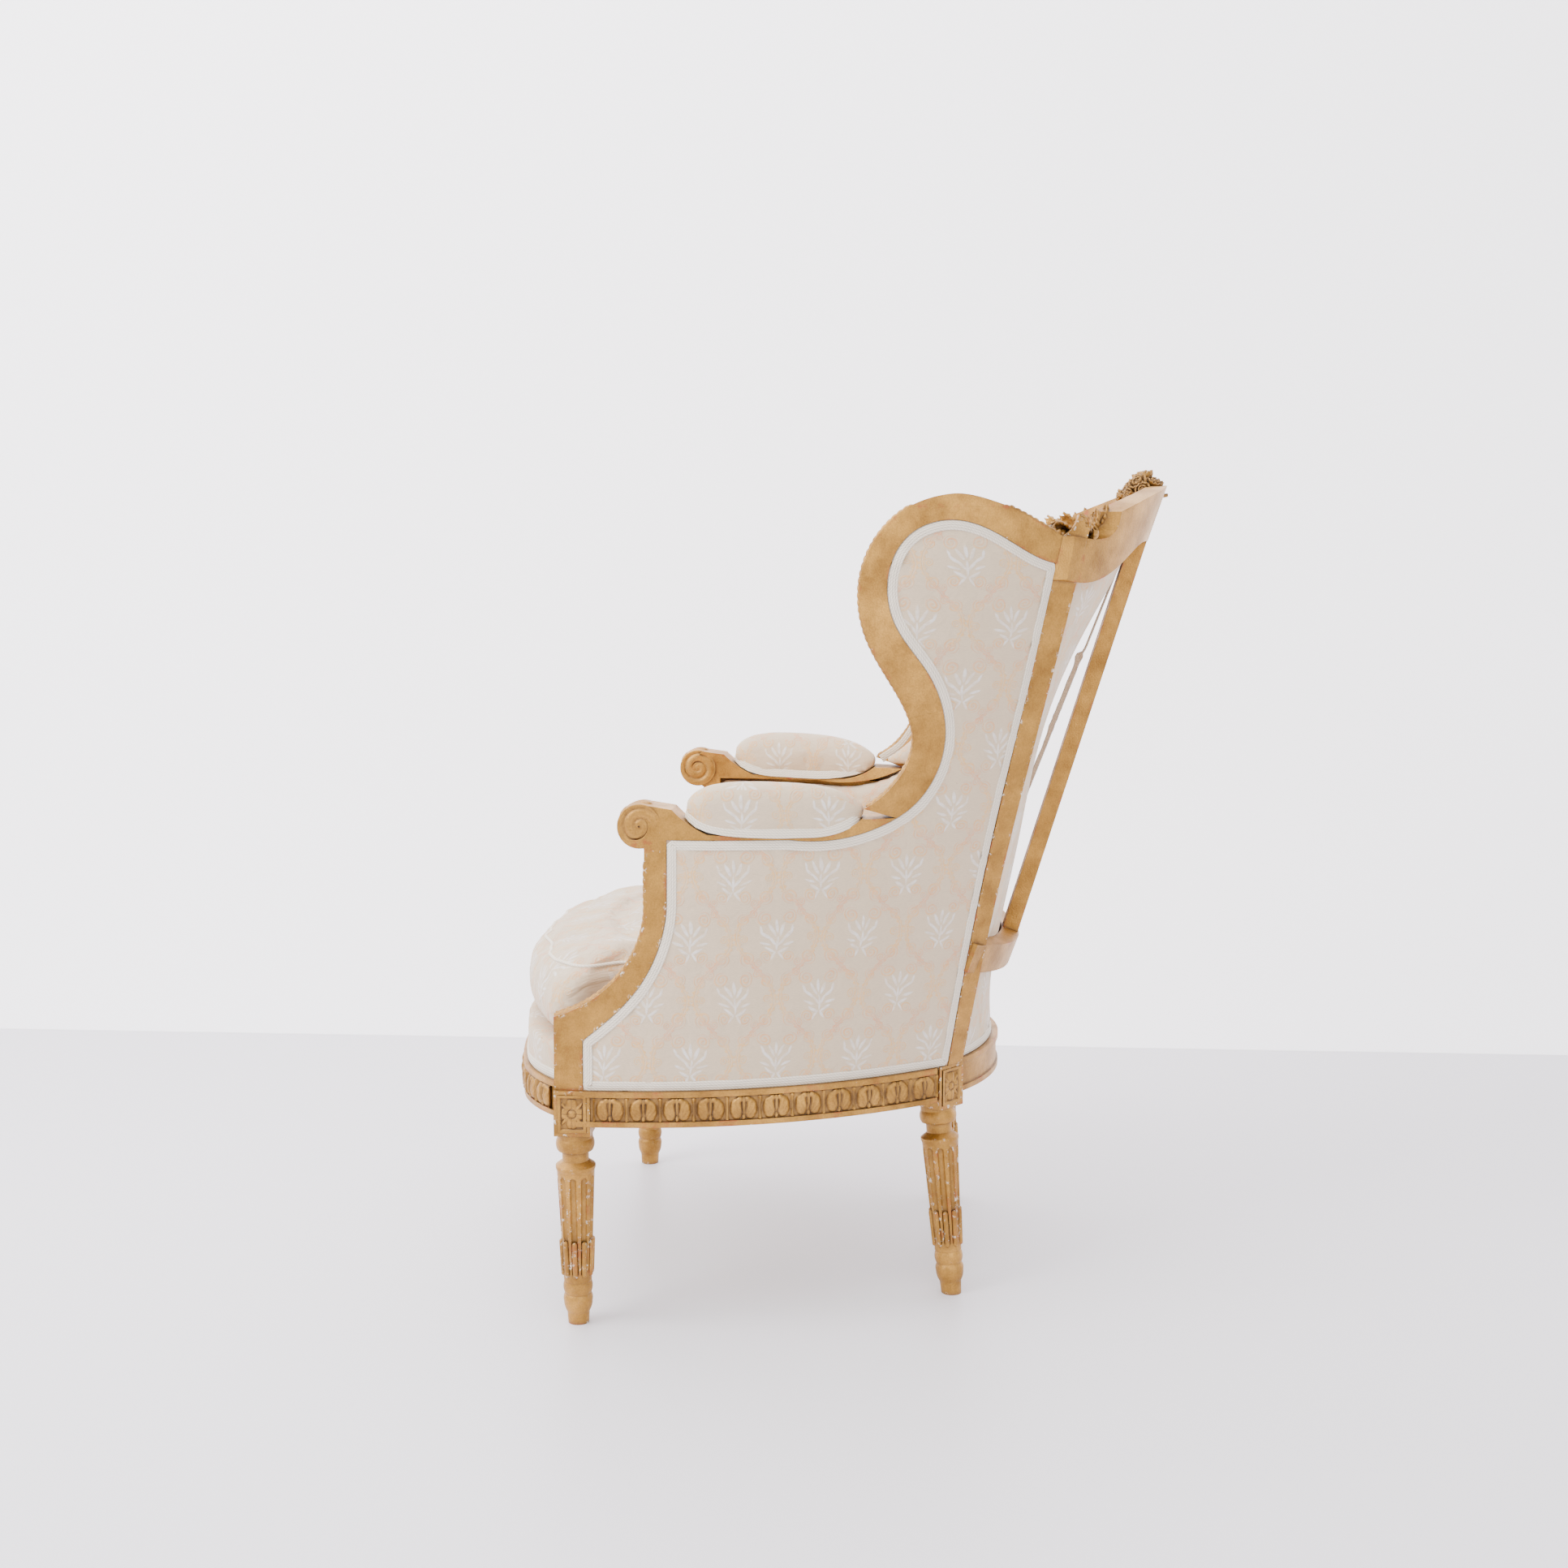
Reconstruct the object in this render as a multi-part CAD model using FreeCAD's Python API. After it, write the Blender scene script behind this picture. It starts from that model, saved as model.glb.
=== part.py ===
import FreeCAD
import Part
import math
import os

# Bergere chair with wings: a carved and gilded beech frame, closed and padded sides, a barrel
# back with an open upright behind it, and a loose feather cushion.
# Millimetres, +Z up, the sitter faces -Y, +X is the sitter's left.

V = FreeCAD.Vector

# Seat frame
rail_top = 291.0
rail_height = 42.0
rail_thickness = 26.0
rail_proud = 5.0
fillet_height = 6.5
carved_band_depth = 2.5
front_apex = 397.0
front_shoulder_x = 200.0
front_shoulder_y = -375.0
front_end_x = 306.0
front_end_y = -318.0
rear_end_x = 165.0
rear_end_y = 165.0
rear_apex = 218.0

# Legs and their blocks
block_drop = 12.0
block_panel_margin = 4.5
block_panel_depth = 2.2
rosette_radius = 11.0
rosette_heart_radius = 4.0
front_block_width = 43.0
front_block_x = 328.5
front_block_y = -289.5
front_foot_lean = 10.0
rear_block_width = 45.0
rear_block_turn = 50.0
rear_leg_x = 178.0
rear_leg_y = 138.0
rear_foot_lean = 23.0
rear_lean_turn = 59.0
front_panel_turns = (0, -90)
rear_panel_turns = (0,)
neck_radius = 15.8
ring_radius = 23.0
cap_radius = 23.7
cap_band = 3.0
cap_bevel = 4.0
ring_round = 2.0
tenon_length = 4.0
shaft_top_radius = 22.3
shaft_foot_radius = 16.7
collar_radius = 17.6
groove_radius = 15.6
bulb_radius = 17.3
ankle_radius = 13.4
sole_radius = 11.6
bulb_height = 28.0
ankle_height = 14.0
sole_allowance = 14.0
collar_height = 37.5
shaft_height = 53.0
cap_height = 194.0
neck_height = 203.0
ring_height = 214.0
flute_count = 10
flute_radius = 4.0
flute_sink = 0.6
flute_low = 62.0
flute_high = 186.0
cable_top = 106.0
cable_radius = 3.1

# Glued blocks in the corners of the seat frame, seen from above
front_corner_block = [(322, -266), (322, -224), (252, -340), (303, -312), (303, -266)]
rear_corner_block = [(240, 62), (212, 104), (158, 156), (138, 168), (138, 140), (150, 122), (172, 100)]
corner_block_drop = 5.0

# Side wall, as the outer face of the chair's side seen from above at four heights:
# height, front x, front y, back x, back y, bulge of the arc between them
wall_levels = [
    (rail_top, 346.0, -268.0, 199.0, 150.0, 41.0),
    (580.0, 334.0, -190.0, 214.0, 205.0, 34.0),
    (760.0, 318.0, -30.0, 219.0, 248.0, 20.0),
    (1000.0, 290.0, 30.0, 222.0, 300.0, 10.0),
]
wall_margin = 60.0
frame_thickness = 28.0
support_thickness = 32.0
arm_width = 48.0
panel_sink = 2.0
panel_thickness = 4.0
wing_tail_drop = 4.0
pad_face = 47.0
rebate_sink = 7.0
tacking_gap = 22.0
tacking_height = 30.0
tacking_thickness = 18.0

# Arm support, seen from the side as y and z
post_front = -311.0
post_back = -277.0
post_top = 378.0
post_heel = 351.0
support_top = 575.0
support_front = -204.0
support_back = -178.0
support_straight_low = 515.0
support_front_curve = [(-210, 471), (-234, 428), (-276, 393)]
support_back_curve = [(-186, 465), (-212, 413), (-257, 367)]

# Armrest and its scroll
scroll_y = -210.0
scroll_z = 602.0
scroll_radius = 25.4
scroll_groove_width = 2.4
scroll_groove_depth = 2.0
scroll_step = 5.2
scroll_turns = 3
scroll_rim = 4.5
arm_low = 590.0
arm_edge = 587.0
arm_hidden_low = 560.0
arm_joint_z = 608.5
arm_joint_y = 47.0
saddle_y = -172.0
saddle_rise = 20.0
saddle_curve = [(-155, 607), (-130, 593)]
arm_flat_front = -60.0
arm_flat_back = -15.0
arm_upper_curve = [(25, 596)]
arm_lower_curve = [(44, 591), (-36, 587)]

# Wing frame, outer edge and inner edge in matching pairs of y and z, from the stile down to the arm
wing_outer = [(279, 936), (253, 951), (214, 971), (150, 985), (85, 960), (45, 894),
              (50, 824), (88, 754), (106, 699), (85, 650), (49, 621)]
wing_inner = [(279, 903), (245, 914), (205, 937.5), (150, 955), (100, 938), (76, 893),
              (83, 836), (122, 778), (143, 704), (128, 650), (87, 608.5)]
wing_seam_front = 727.0
wing_seam_back = 735.0

# Back stiles: height, x and y of the outer front corner, turn of the outer face, width
stile_levels = [
    (rail_top, 198.0, 151.0, 48.0, 26.0),
    (388.0, 204.0, 166.5, 42.0, 26.0),
    (582.0, 216.0, 203.0, 33.0, 26.5),
    (750.0, 221.0, 239.5, 26.0, 28.5),
    (905.0, 222.0, 272.0, 20.0, 32.0),
    (970.0, 222.5, 285.0, 18.0, 33.5),
]
stile_depth = 28.0
ear_front_y = 279.0
ear_front_z = 936.0
ear_tip_y = 298.0
ear_tip_z = 961.0
ear_back_y = 306.0
ear_back_z = 947.0

# Crest rail
crest_low = 880.0
crest_high = 1005.0
crest_end_x = 211.0
crest_end_y = 303.0
crest_end_height = 905.0
crest_end_rake = 0.2
crest_apex_y = 422.0
crest_apex_height = 998.5
crest_apex_rake = 0.333
crest_thickness = 26.0
crest_end_turn = 0.12
crest_top_edge = [(0, 1000), (66, 994), (134, 979), (173, 965)]
crest_notch = [(171, 952), (178, 938), (195, 932.5), (225, 936)]
crest_low_edge = [(225, 885), (174, 886), (137, 905), (101, 925), (60, 930), (0, 932)]

# Lower back rail and the open upright
low_rail_tilt = 20.0
low_rail_end_x = 195.0
low_rail_end_y = 193.0
low_rail_z = 441.0
low_rail_bow = 54.0
low_rail_depth = 24.0
low_rail_height = 36.0
low_rail_joint = 15.0
upright_width = 27.0
upright_depth = 21.0
upright_low_y = 242.0
upright_low_z = 424.0
upright_high_y = 396.5
upright_high_z = 924.0
upright_low_joint = 20.0
upright_high_joint = 15.0

# Carved flowers on the crest: x, y, z and radius of each bloom
blooms = [(0, 400, 1004, 17), (20, 396, 998, 13), (-20, 396, 998, 13), (9, 384, 994, 12),
          (-11, 385, 992, 12), (38, 390, 990, 9), (-38, 390, 990, 9)]

# Seat upholstery
deck_top = 336.0
deck_inset = 6.0
deck_side_gap = 2.5
cover_thickness = 2.0
stuffing_depth = 15.0
edge_roll_width = 40.0
hessian_thickness = 1.0
strap_width = 50.0
strap_thickness = 2.0
strap_pitch = 56.0
strap_count = 5
strap_centre_y = -80.0
spring_rows = 3
spring_end_radius = 34.0
spring_waist_radius = 22.0
spring_wire_radius = 2.0
spring_half_turns = 6

# Loose cushion
cushion_gap = 0.8
cushion_front = 403.0
cushion_layers = [(0, 30), (6, 13), (22, 3), (42, 0), (64, 4), (80, 12), (89, 24),
                  (96, 50), (101, 80), (105, 112), (107, 144)]
cushion_side_gap = 2.5
cushion_ear_x = 302.5
cushion_neck_x = 271.0
cushion_ear_y = -252.0
cushion_back_y = 118.0

# Back upholstery, as height, half width and y at the sides, y at the middle
back_front_levels = [
    (rail_top, 166.0, 120.0, 126.0),
    (350.0, 172.0, 130.0, 136.0),
    (445.0, 178.0, 145.0, 152.0),
    (582.0, 182.0, 172.0, 183.0),
    (750.0, 184.0, 206.0, 228.0),
    (905.0, 184.0, 238.0, 303.0),
    (985.0, 184.0, 252.0, 345.0),
]
back_outer_levels = [
    (rail_top, 168.0, 158.0, 208.0),
    (350.0, 172.0, 168.0, 203.0),
    (445.0, 184.0, 186.0, 216.0),
    (582.0, 194.0, 217.0, 243.0),
    (750.0, 196.0, 251.0, 286.0),
    (905.0, 192.0, 290.0, 366.0),
    (985.0, 192.0, 306.0, 400.0),
]
back_cover_thickness = 2.5
back_strap_thickness = 2.0
back_strap_gap = 0.3
back_strap_heights = [500.0, 610.0, 720.0, 830.0]
back_pad_top_edge = [(0, 958), (70, 952), (140, 935), (200, 922)]

# Arm pad: y, half width, bottom and top
arm_pad_stations = [
    (-157.0, 13.0, 616.0, 630.0),
    (-146.0, 20.0, 602.0, 642.0),
    (-126.0, 24.0, 594.0, 650.0),
    (-62.0, 25.0, 590.0, 653.0),
    (0.0, 25.0, 590.0, 647.0),
    (33.0, 22.0, 598.0, 635.0),
    (49.0, 14.0, 612.0, 622.0),
]

# Values worked out from the sizes above
rail_bottom = rail_top - rail_height
block_bottom = rail_bottom - block_drop
spring_pitch = 2 * strap_pitch
far = 500.0


def segment(a, b):
    return Part.LineSegment(a, b).toShape()


def arc(a, m, b):
    return Part.Arc(a, m, b).toShape()


def spline(points):
    curve = Part.BSplineCurve()
    curve.interpolate(points)
    return curve.toShape()


def face_of(edges):
    return Part.Face(Part.Wire(edges))


def side_points(pairs):
    return [V(0, y, z) for y, z in pairs]


def side_path(start, steps):
    """Edges in the side view; a step is one (y, z) pair for a line or a list for a curve."""
    edges = []
    here = start
    for step in steps:
        if isinstance(step, list):
            edges.append(spline(side_points([here] + step)))
            here = step[-1]
        else:
            edges.append(segment(V(0, *here), V(0, *step)))
            here = step
    return edges


def side_prism(edges):
    return face_of(edges).extrude(V(far, 0, 0))


def mirrored(shape):
    return shape.mirror(V(0, 0, 0), V(1, 0, 0))


def without_offcuts(shape):
    return max(shape.Solids, key=lambda solid: solid.Volume)


def polar(cx, cy, radius, angle, z):
    return V(cx + radius * math.cos(angle), cy + radius * math.sin(angle), z)


def wall_circle(level):
    height, front_x, front_y, back_x, back_y, bulge = level
    chord_x = back_x - front_x
    chord_y = back_y - front_y
    chord = math.hypot(chord_x, chord_y)
    radius = (chord * chord / 4 + bulge * bulge) / (2 * bulge)
    cx = (front_x + back_x) / 2 - chord_y / chord * (radius - bulge)
    cy = (front_y + back_y) / 2 + chord_x / chord * (radius - bulge)
    start = math.atan2(front_y - cy, front_x - cx)
    end = math.atan2(back_y - cy, back_x - cx)
    return cx, cy, radius, start, end


def wall_section(level, outer, inner, z):
    cx, cy, radius, start, end = wall_circle(level)
    start -= wall_margin / radius
    end += wall_margin / radius
    middle = (start + end) / 2
    out = [polar(cx, cy, radius - outer, a, z) for a in (start, middle, end)]
    back = [polar(cx, cy, radius - inner, a, z) for a in (end, middle, start)]
    return Part.Wire([arc(*out), segment(out[2], back[0]), arc(*back), segment(back[2], out[0])])


def wall(outer, inner):
    """The side wall as a curved slab between two depths measured in from its outer face."""
    sections = [wall_section(level, outer, inner, level[0]) for level in wall_levels]
    return Part.makeLoft(sections, True, False)


def wall_x(y, z):
    """x of the outer face, good enough to centre a pad on the arm."""
    found = []
    for level in wall_levels:
        cx, cy, radius, start, end = wall_circle(level)
        found.append((level[0], cx + math.sqrt(radius * radius - (y - cy) ** 2)))
    for low, high in zip(found, found[1:]):
        if z <= high[0]:
            part = (z - low[0]) / (high[0] - low[0])
            return low[1] + part * (high[1] - low[1])
    return found[-1][1]


def bowed_chain(apex_y, shoulder_x, shoulder_y, end_x, end_y, inset, z):
    """Front rail plan: a wide middle arc and two tighter tangent arcs, moved in by inset."""
    bow = abs(apex_y - shoulder_y)
    big = (shoulder_x ** 2 + bow ** 2) / (2 * bow)
    slope = math.asin(shoulder_x / big)
    run_x = end_x - shoulder_x
    run_y = end_y - shoulder_y
    chord_angle = math.atan2(run_y, run_x)
    small = math.hypot(run_x, run_y) / (2 * math.sin(chord_angle - slope))
    last = 2 * chord_angle - slope
    big_cy = apex_y + big
    small_cx = shoulder_x - small * math.sin(slope)
    small_cy = shoulder_y + small * math.cos(slope)

    def on_big(angle):
        return V((big - inset) * math.sin(angle), big_cy - (big - inset) * math.cos(angle), z)

    def on_small(angle, side):
        x = small_cx + (small - inset) * math.sin(angle)
        return V(side * x, small_cy - (small - inset) * math.cos(angle), z)

    half = (slope + last) / 2
    left = arc(on_small(last, -1), on_small(half, -1), on_small(slope, -1))
    centre = arc(on_big(-slope), on_big(0), on_big(slope))
    right = arc(on_small(slope, 1), on_small(half, 1), on_small(last, 1))
    return [left, centre, right], on_small(last, -1), on_small(last, 1)


def front_chain(inset, z):
    return bowed_chain(-front_apex, front_shoulder_x, front_shoulder_y,
                       front_end_x, front_end_y, inset, z)


def rear_arc(inset, z):
    """Rear rail plan from the sitter's left end to the right end, moved in by inset."""
    bow = rear_apex - rear_end_y
    radius = (rear_end_x ** 2 + bow ** 2) / (2 * bow)
    cy = rear_apex - radius
    angle = math.asin(rear_end_x / radius)
    points = [V((radius - inset) * math.sin(a), cy + (radius - inset) * math.cos(a), z)
              for a in (angle, 0, -angle)]
    return arc(*points), points[0], points[2]


def slab_between(outer, inner):
    """Closed face between two open chains, each given as edges, start and end."""
    outer_edges, outer_start, outer_end = outer
    inner_edges, inner_start, inner_end = inner
    edges = list(outer_edges)
    edges.append(segment(outer_end, inner_end))
    edges.extend(reversed(inner_edges))
    edges.append(segment(inner_start, outer_start))
    return Part.Face(Part.Wire(Part.__sortEdges__(edges)))


def moulded(face_at):
    """A rail with a sunk band between its upper and lower fillets.
    face_at(outer inset, height) gives the plan face at that height."""
    low = face_at(0, rail_bottom).extrude(V(0, 0, fillet_height))
    band_height = rail_height - 2 * fillet_height
    band = face_at(carved_band_depth, rail_bottom + fillet_height).extrude(V(0, 0, band_height))
    high = face_at(0, rail_top - fillet_height).extrude(V(0, 0, fillet_height))
    return low.fuse([band, high])


def front_rail_face(inset, z):
    return slab_between(front_chain(inset, z), front_chain(rail_thickness, z))


def rear_rail_face(inset, z):
    outer_edge, outer_start, outer_end = rear_arc(inset, z)
    inner_edge, inner_start, inner_end = rear_arc(rail_thickness, z)
    return slab_between(([outer_edge], outer_start, outer_end),
                        ([inner_edge], inner_start, inner_end))


def side_rail_face(inset, z):
    return Part.Face(wall_section(wall_levels[0], inset - rail_proud,
                                  rail_thickness - rail_proud, z))


def leg_block(width, panel_turns):
    """Square block about Z with a sunk panel and a rosette on the faces turned to the given degrees."""
    half = width / 2
    block = Part.makeBox(width, width, rail_top - block_bottom, V(-half, -half, block_bottom))
    panel_width = width - 2 * block_panel_margin
    panel_height = rail_top - block_bottom - 2 * block_panel_margin
    middle = V(half - block_panel_depth, 0, (block_bottom + rail_top) / 2)
    panel = Part.makeBox(block_panel_depth, panel_width, panel_height,
                         middle - V(0, panel_width / 2, panel_height / 2))
    petals = Part.makeCone(rosette_radius, rosette_heart_radius, block_panel_depth * 0.6, middle, V(1, 0, 0))
    heart = Part.makeCylinder(rosette_heart_radius, block_panel_depth, middle, V(1, 0, 0))
    sunk = panel.cut(petals.fuse(heart))
    return block.cut([turned(sunk, degrees) for degrees in panel_turns])


def front_block(panel_turns=()):
    block = leg_block(front_block_width, panel_turns)
    block.translate(V(front_block_x, front_block_y, 0))
    return block


def rear_block(panel_turns=()):
    block = turned(leg_block(rear_block_width, panel_turns), rear_block_turn)
    block.translate(V(rear_leg_x, rear_leg_y, 0))
    return block


def turned_leg():
    """Turned and tapered leg about Z: foot, collar, fluted shaft, cap, neck and ring."""
    def point(radius, z):
        return V(radius, 0, z)

    sole = point(sole_radius, -sole_allowance)
    ankle = point(ankle_radius, ankle_height)
    bulb_low = point((ankle_radius + bulb_radius) / 2 + 1, (ankle_height + bulb_height) / 2)
    bulb = point(bulb_radius, bulb_height)
    bulb_high = point((bulb_radius + groove_radius) / 2 + 1, (bulb_height + collar_height) / 2)
    groove = point(groove_radius, collar_height)
    collar_middle = (collar_height + shaft_height) / 2
    collar_end = point((groove_radius + shaft_foot_radius) / 2, shaft_height)
    shaft_foot = point(shaft_foot_radius, shaft_height + 1)
    shaft_top = point(shaft_top_radius, cap_height - cap_bevel)
    cap_low = point(cap_radius, cap_height)
    cap_high = point(cap_radius, cap_height + cap_band)
    neck_low = point(neck_radius, neck_height)
    neck_high = point(neck_radius, ring_height)
    ring_low = point(ring_radius - ring_round, ring_height + ring_round)
    ring_high = point(ring_radius - ring_round, block_bottom - 3 * ring_round)
    ring_middle = point(ring_radius, (ring_low.z + ring_high.z) / 2)
    top = point(ring_radius - ring_round, block_bottom + tenon_length)
    edges = [
        segment(point(0, -sole_allowance), sole),
        segment(sole, ankle),
        arc(ankle, bulb_low, bulb),
        arc(bulb, bulb_high, groove),
        arc(groove, point(collar_radius, collar_middle), collar_end),
        segment(collar_end, shaft_foot),
        segment(shaft_foot, shaft_top),
        segment(shaft_top, cap_low),
        segment(cap_low, cap_high),
        segment(cap_high, neck_low),
        segment(neck_low, neck_high),
        segment(neck_high, ring_low),
        arc(ring_low, ring_middle, ring_high),
        segment(ring_high, top),
        segment(top, point(0, block_bottom + tenon_length)),
        segment(point(0, block_bottom + tenon_length), point(0, -sole_allowance)),
    ]
    leg = face_of(edges).revolve(V(0, 0, 0), V(0, 0, 1), 360)
    taper = (shaft_top_radius - shaft_foot_radius) / (cap_height - shaft_height)
    flutes = []
    cables = []
    for index in range(flute_count):
        turn = 360.0 * index / flute_count
        flutes.append(turned(flute_rod(flute_radius, flute_sink, flute_low, flute_high, taper), turn))
        cables.append(turned(flute_rod(cable_radius, -cable_radius * 0.1, flute_low - 2,
                                       cable_top, taper), turn))
    return leg.cut(flutes).fuse(cables)


def flute_rod(radius, proud, low, high, taper):
    """A rod with round ends that lies along the tapered face of the shaft."""
    foot = shaft_foot_radius + taper * (low - shaft_height) + proud
    top = shaft_foot_radius + taper * (high - shaft_height) + proud
    start = V(foot, 0, low + radius)
    way = V(top - foot, 0, high - low - 2 * radius)
    rod = Part.makeCylinder(radius, way.Length, start, way)
    return rod.fuse([Part.makeSphere(radius, start), Part.makeSphere(radius, start + way)])


def turned(shape, degrees):
    copy = shape.copy()
    copy.rotate(V(0, 0, 0), V(0, 0, 1), degrees)
    return copy


def standing_leg(leg, x, y, lean, lean_turn):
    """The leg leans so that its foot is moved by lean in the direction lean_turn."""
    angle = math.degrees(math.atan2(lean, block_bottom))
    way = math.radians(lean_turn)
    copy = leg.copy()
    copy.rotate(V(0, 0, block_bottom), V(-math.sin(way), math.cos(way), 0), -angle)
    copy.translate(V(x, y, 0))
    ground = Part.makeBox(2 * far, 2 * far, far, V(-far, -far, -far))
    return copy.cut(ground)


def stile_corners(level):
    height, x, y, turn, width = level
    angle = math.radians(turn)
    out_x, out_y = math.cos(angle), math.sin(angle)
    a = V(x, y, height)
    b = V(x - width * out_y, y + width * out_x, height)
    c = V(b.x - stile_depth * out_x, b.y - stile_depth * out_y, height)
    d = V(x - stile_depth * out_x, y - stile_depth * out_y, height)
    return a, b, c, d


def stile_edge():
    """Solid in front of the stile's outer front edge, on which all the side pieces end."""
    points = [(level[2], level[0]) for level in stile_levels]
    return side_prism(side_path((-far, rail_top), [points[0], points[1:], (-far, points[-1][1]),
                                                   (-far, rail_top)]))


def on_side(outer, inner, outline):
    """A piece of the side wall: its slab between two depths, cut to a side outline."""
    return wall(outer, inner).common(outline.common(stile_edge()))


def stile():
    """Back stile, sawn to its curve, with the pointed ear above the crest joint."""
    sections = [Part.makePolygon(list(stile_corners(level)) + [stile_corners(level)[0]])
                for level in stile_levels]
    body = Part.makeLoft(sections, True, False)
    middle_y = (ear_front_y + ear_tip_y) / 2
    middle_z = (ear_front_z + ear_tip_z) / 2
    outline = side_path((0, 0), [
        (far, 0), (far, ear_back_z), (ear_back_y, ear_back_z),
        [(ear_back_y - 2, (ear_back_z + ear_tip_z) / 2 + 2), (ear_tip_y, ear_tip_z)],
        [(middle_y + 2, middle_z - 3), (ear_front_y, ear_front_z)],
        (0, ear_front_z), (0, 0)])
    return body.common(side_prism(outline))


def wing_band():
    """Outline of the whole wing frame from the stile down to the arm, as a prism."""
    back = wing_outer[0][0] + stile_depth / 2
    outer_tail = (back, wing_outer[0][1] - wing_tail_drop)
    inner_tail = (back, wing_inner[0][1] - wing_tail_drop)
    return side_prism(side_path(outer_tail, [
        wing_outer[0], wing_outer[1:], wing_inner[-1], wing_inner[-2::-1], inner_tail, outer_tail]))


def below(front_z, back_z):
    """Everything under a slightly sloping seam between the front and the back of the wing."""
    slope = (back_z - front_z) / (wing_inner[8][0] - wing_outer[8][0])
    start_y = -far
    end_y = far
    z_start = front_z + slope * (start_y - wing_outer[8][0])
    z_end = front_z + slope * (end_y - wing_outer[8][0])
    return side_prism(side_path((start_y, 0), [(end_y, 0), (end_y, z_end), (start_y, z_start),
                                               (start_y, 0)]))


def support_outline():
    front = support_front_curve + [(post_front, post_top)]
    back = support_back_curve[::-1] + [(support_back, support_straight_low)]
    return side_path((support_front, support_top), [
        (support_front, support_straight_low), front, (post_front, rail_top), (post_back, rail_top),
        (post_back, post_heel), back, (support_back, support_top), (support_front, support_top)])


def arm_outline():
    return side_path((scroll_y, scroll_z), [
        (scroll_y, scroll_z + scroll_radius), (saddle_y, scroll_z + saddle_rise),
        saddle_curve, (arm_flat_front, arm_low), (arm_flat_back, arm_low),
        arm_upper_curve + [(arm_joint_y, arm_joint_z)], wing_inner[-1],
        arm_lower_curve, (support_back, arm_edge), (support_back, support_top),
        (support_front, support_top), (scroll_y, scroll_z)])


def scroll_groove(depth_start, depth):
    """Spiral groove of half circles about two centres, cut into the face of the scroll."""
    edges = []
    ends = []
    for inset in (0.0, scroll_groove_width):
        side = []
        radius = scroll_radius - scroll_rim - inset
        cy = scroll_y
        sign = 1
        for turn in range(scroll_turns):
            a = V(0, cy + sign * radius, scroll_z)
            m = V(0, cy, scroll_z + sign * radius)
            b = V(0, cy - sign * radius, scroll_z)
            side.append(arc(a, m, b))
            cy -= sign * scroll_step
            radius -= scroll_step
            sign = -sign
        ends.append((side[0].Vertexes[0].Point, side[-1].Vertexes[-1].Point))
        edges.append(side)
    loop = edges[0] + [segment(ends[0][1], ends[1][1])] + edges[1] + [segment(ends[1][0], ends[0][0])]
    groove = Part.Face(Part.Wire(Part.__sortEdges__(loop))).extrude(V(depth, 0, 0))
    groove.translate(V(depth_start, 0, 0))
    return groove


def armrest():
    shape = wall(0, arm_width)
    roll = Part.makeCylinder(scroll_radius, far, V(0, scroll_y, scroll_z), V(1, 0, 0))
    body = shape.common(side_prism(arm_outline()).fuse(roll))
    hidden = side_prism(side_path((support_back, arm_hidden_low), [
        (far, arm_hidden_low), (far, arm_edge), (support_back, arm_edge),
        (support_back, arm_hidden_low)]))
    lip = on_side(rebate_sink, frame_thickness, hidden)
    outer_face = wall_x(scroll_y, scroll_z)
    inner_face = outer_face - arm_width
    body = body.fuse(lip)
    body = body.cut(scroll_groove(outer_face - scroll_groove_depth, arm_width))
    return body.cut(scroll_groove(inner_face - arm_width + scroll_groove_depth, arm_width))


def side_panel_outline(low):
    """The opening of the side, inside the wing frame, arm and support."""
    back = wing_inner[0][0] + stile_depth / 2
    return side_path((back, low), [
        (back, wing_inner[0][1] - wing_tail_drop), wing_inner[0], wing_inner[1:]] + under_arm(low)
        + [(back, low)])


def under_arm(low):
    """Steps along the lower edge of the arm, down the back of its support and to the seat."""
    return [arm_lower_curve, (support_back, arm_edge), (support_back, support_straight_low),
            support_back_curve + [(post_back, post_heel)], (post_back, low)]


def blended(part, count):
    """Points between the outer and the inner edge of the wing frame."""
    pairs = zip(wing_outer[:count], wing_inner[:count])
    return [(o[0] + part * (i[0] - o[0]), o[1] + part * (i[1] - o[1])) for o, i in pairs]


def back_slab(front_levels, back_levels, front_shift, back_shift):
    """A padded or thin layer of the back between two bowed surfaces."""
    sections = []
    for front, back in zip(front_levels, back_levels):
        z = front[0]
        f = [V(-front[1], front[2] + front_shift, z), V(0, front[3] + front_shift, z),
             V(front[1], front[2] + front_shift, z)]
        b = [V(back[1], back[2] + back_shift, z), V(0, back[3] + back_shift, z),
             V(-back[1], back[2] + back_shift, z)]
        sections.append(Part.Wire([arc(*f), segment(f[2], b[0]), arc(*b), segment(b[2], f[0])]))
    return Part.makeLoft(sections, True, False)


def crest_plan(outer, inner, z):
    """Arc of the crest rail seen from above, carried past the stiles."""
    end_y = crest_end_y + (z - crest_end_height) * crest_end_rake
    apex = crest_apex_y - (crest_apex_height - z) * crest_apex_rake
    bow = apex - end_y
    radius = (crest_end_x ** 2 + bow ** 2) / (2 * bow)
    angle = math.asin(crest_end_x / radius) + crest_end_turn
    cy = apex - radius
    out = [V((radius - outer) * math.sin(a), cy + (radius - outer) * math.cos(a), z)
           for a in (angle, 0, -angle)]
    back = [V((radius - inner) * math.sin(a), cy + (radius - inner) * math.cos(a), z)
            for a in (-angle, 0, angle)]
    return Part.Wire([arc(*out), segment(out[2], back[0]), arc(*back), segment(back[2], out[0])])


def front_view(pairs, sign):
    return [V(sign * x, 0, z) for x, z in pairs]


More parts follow.
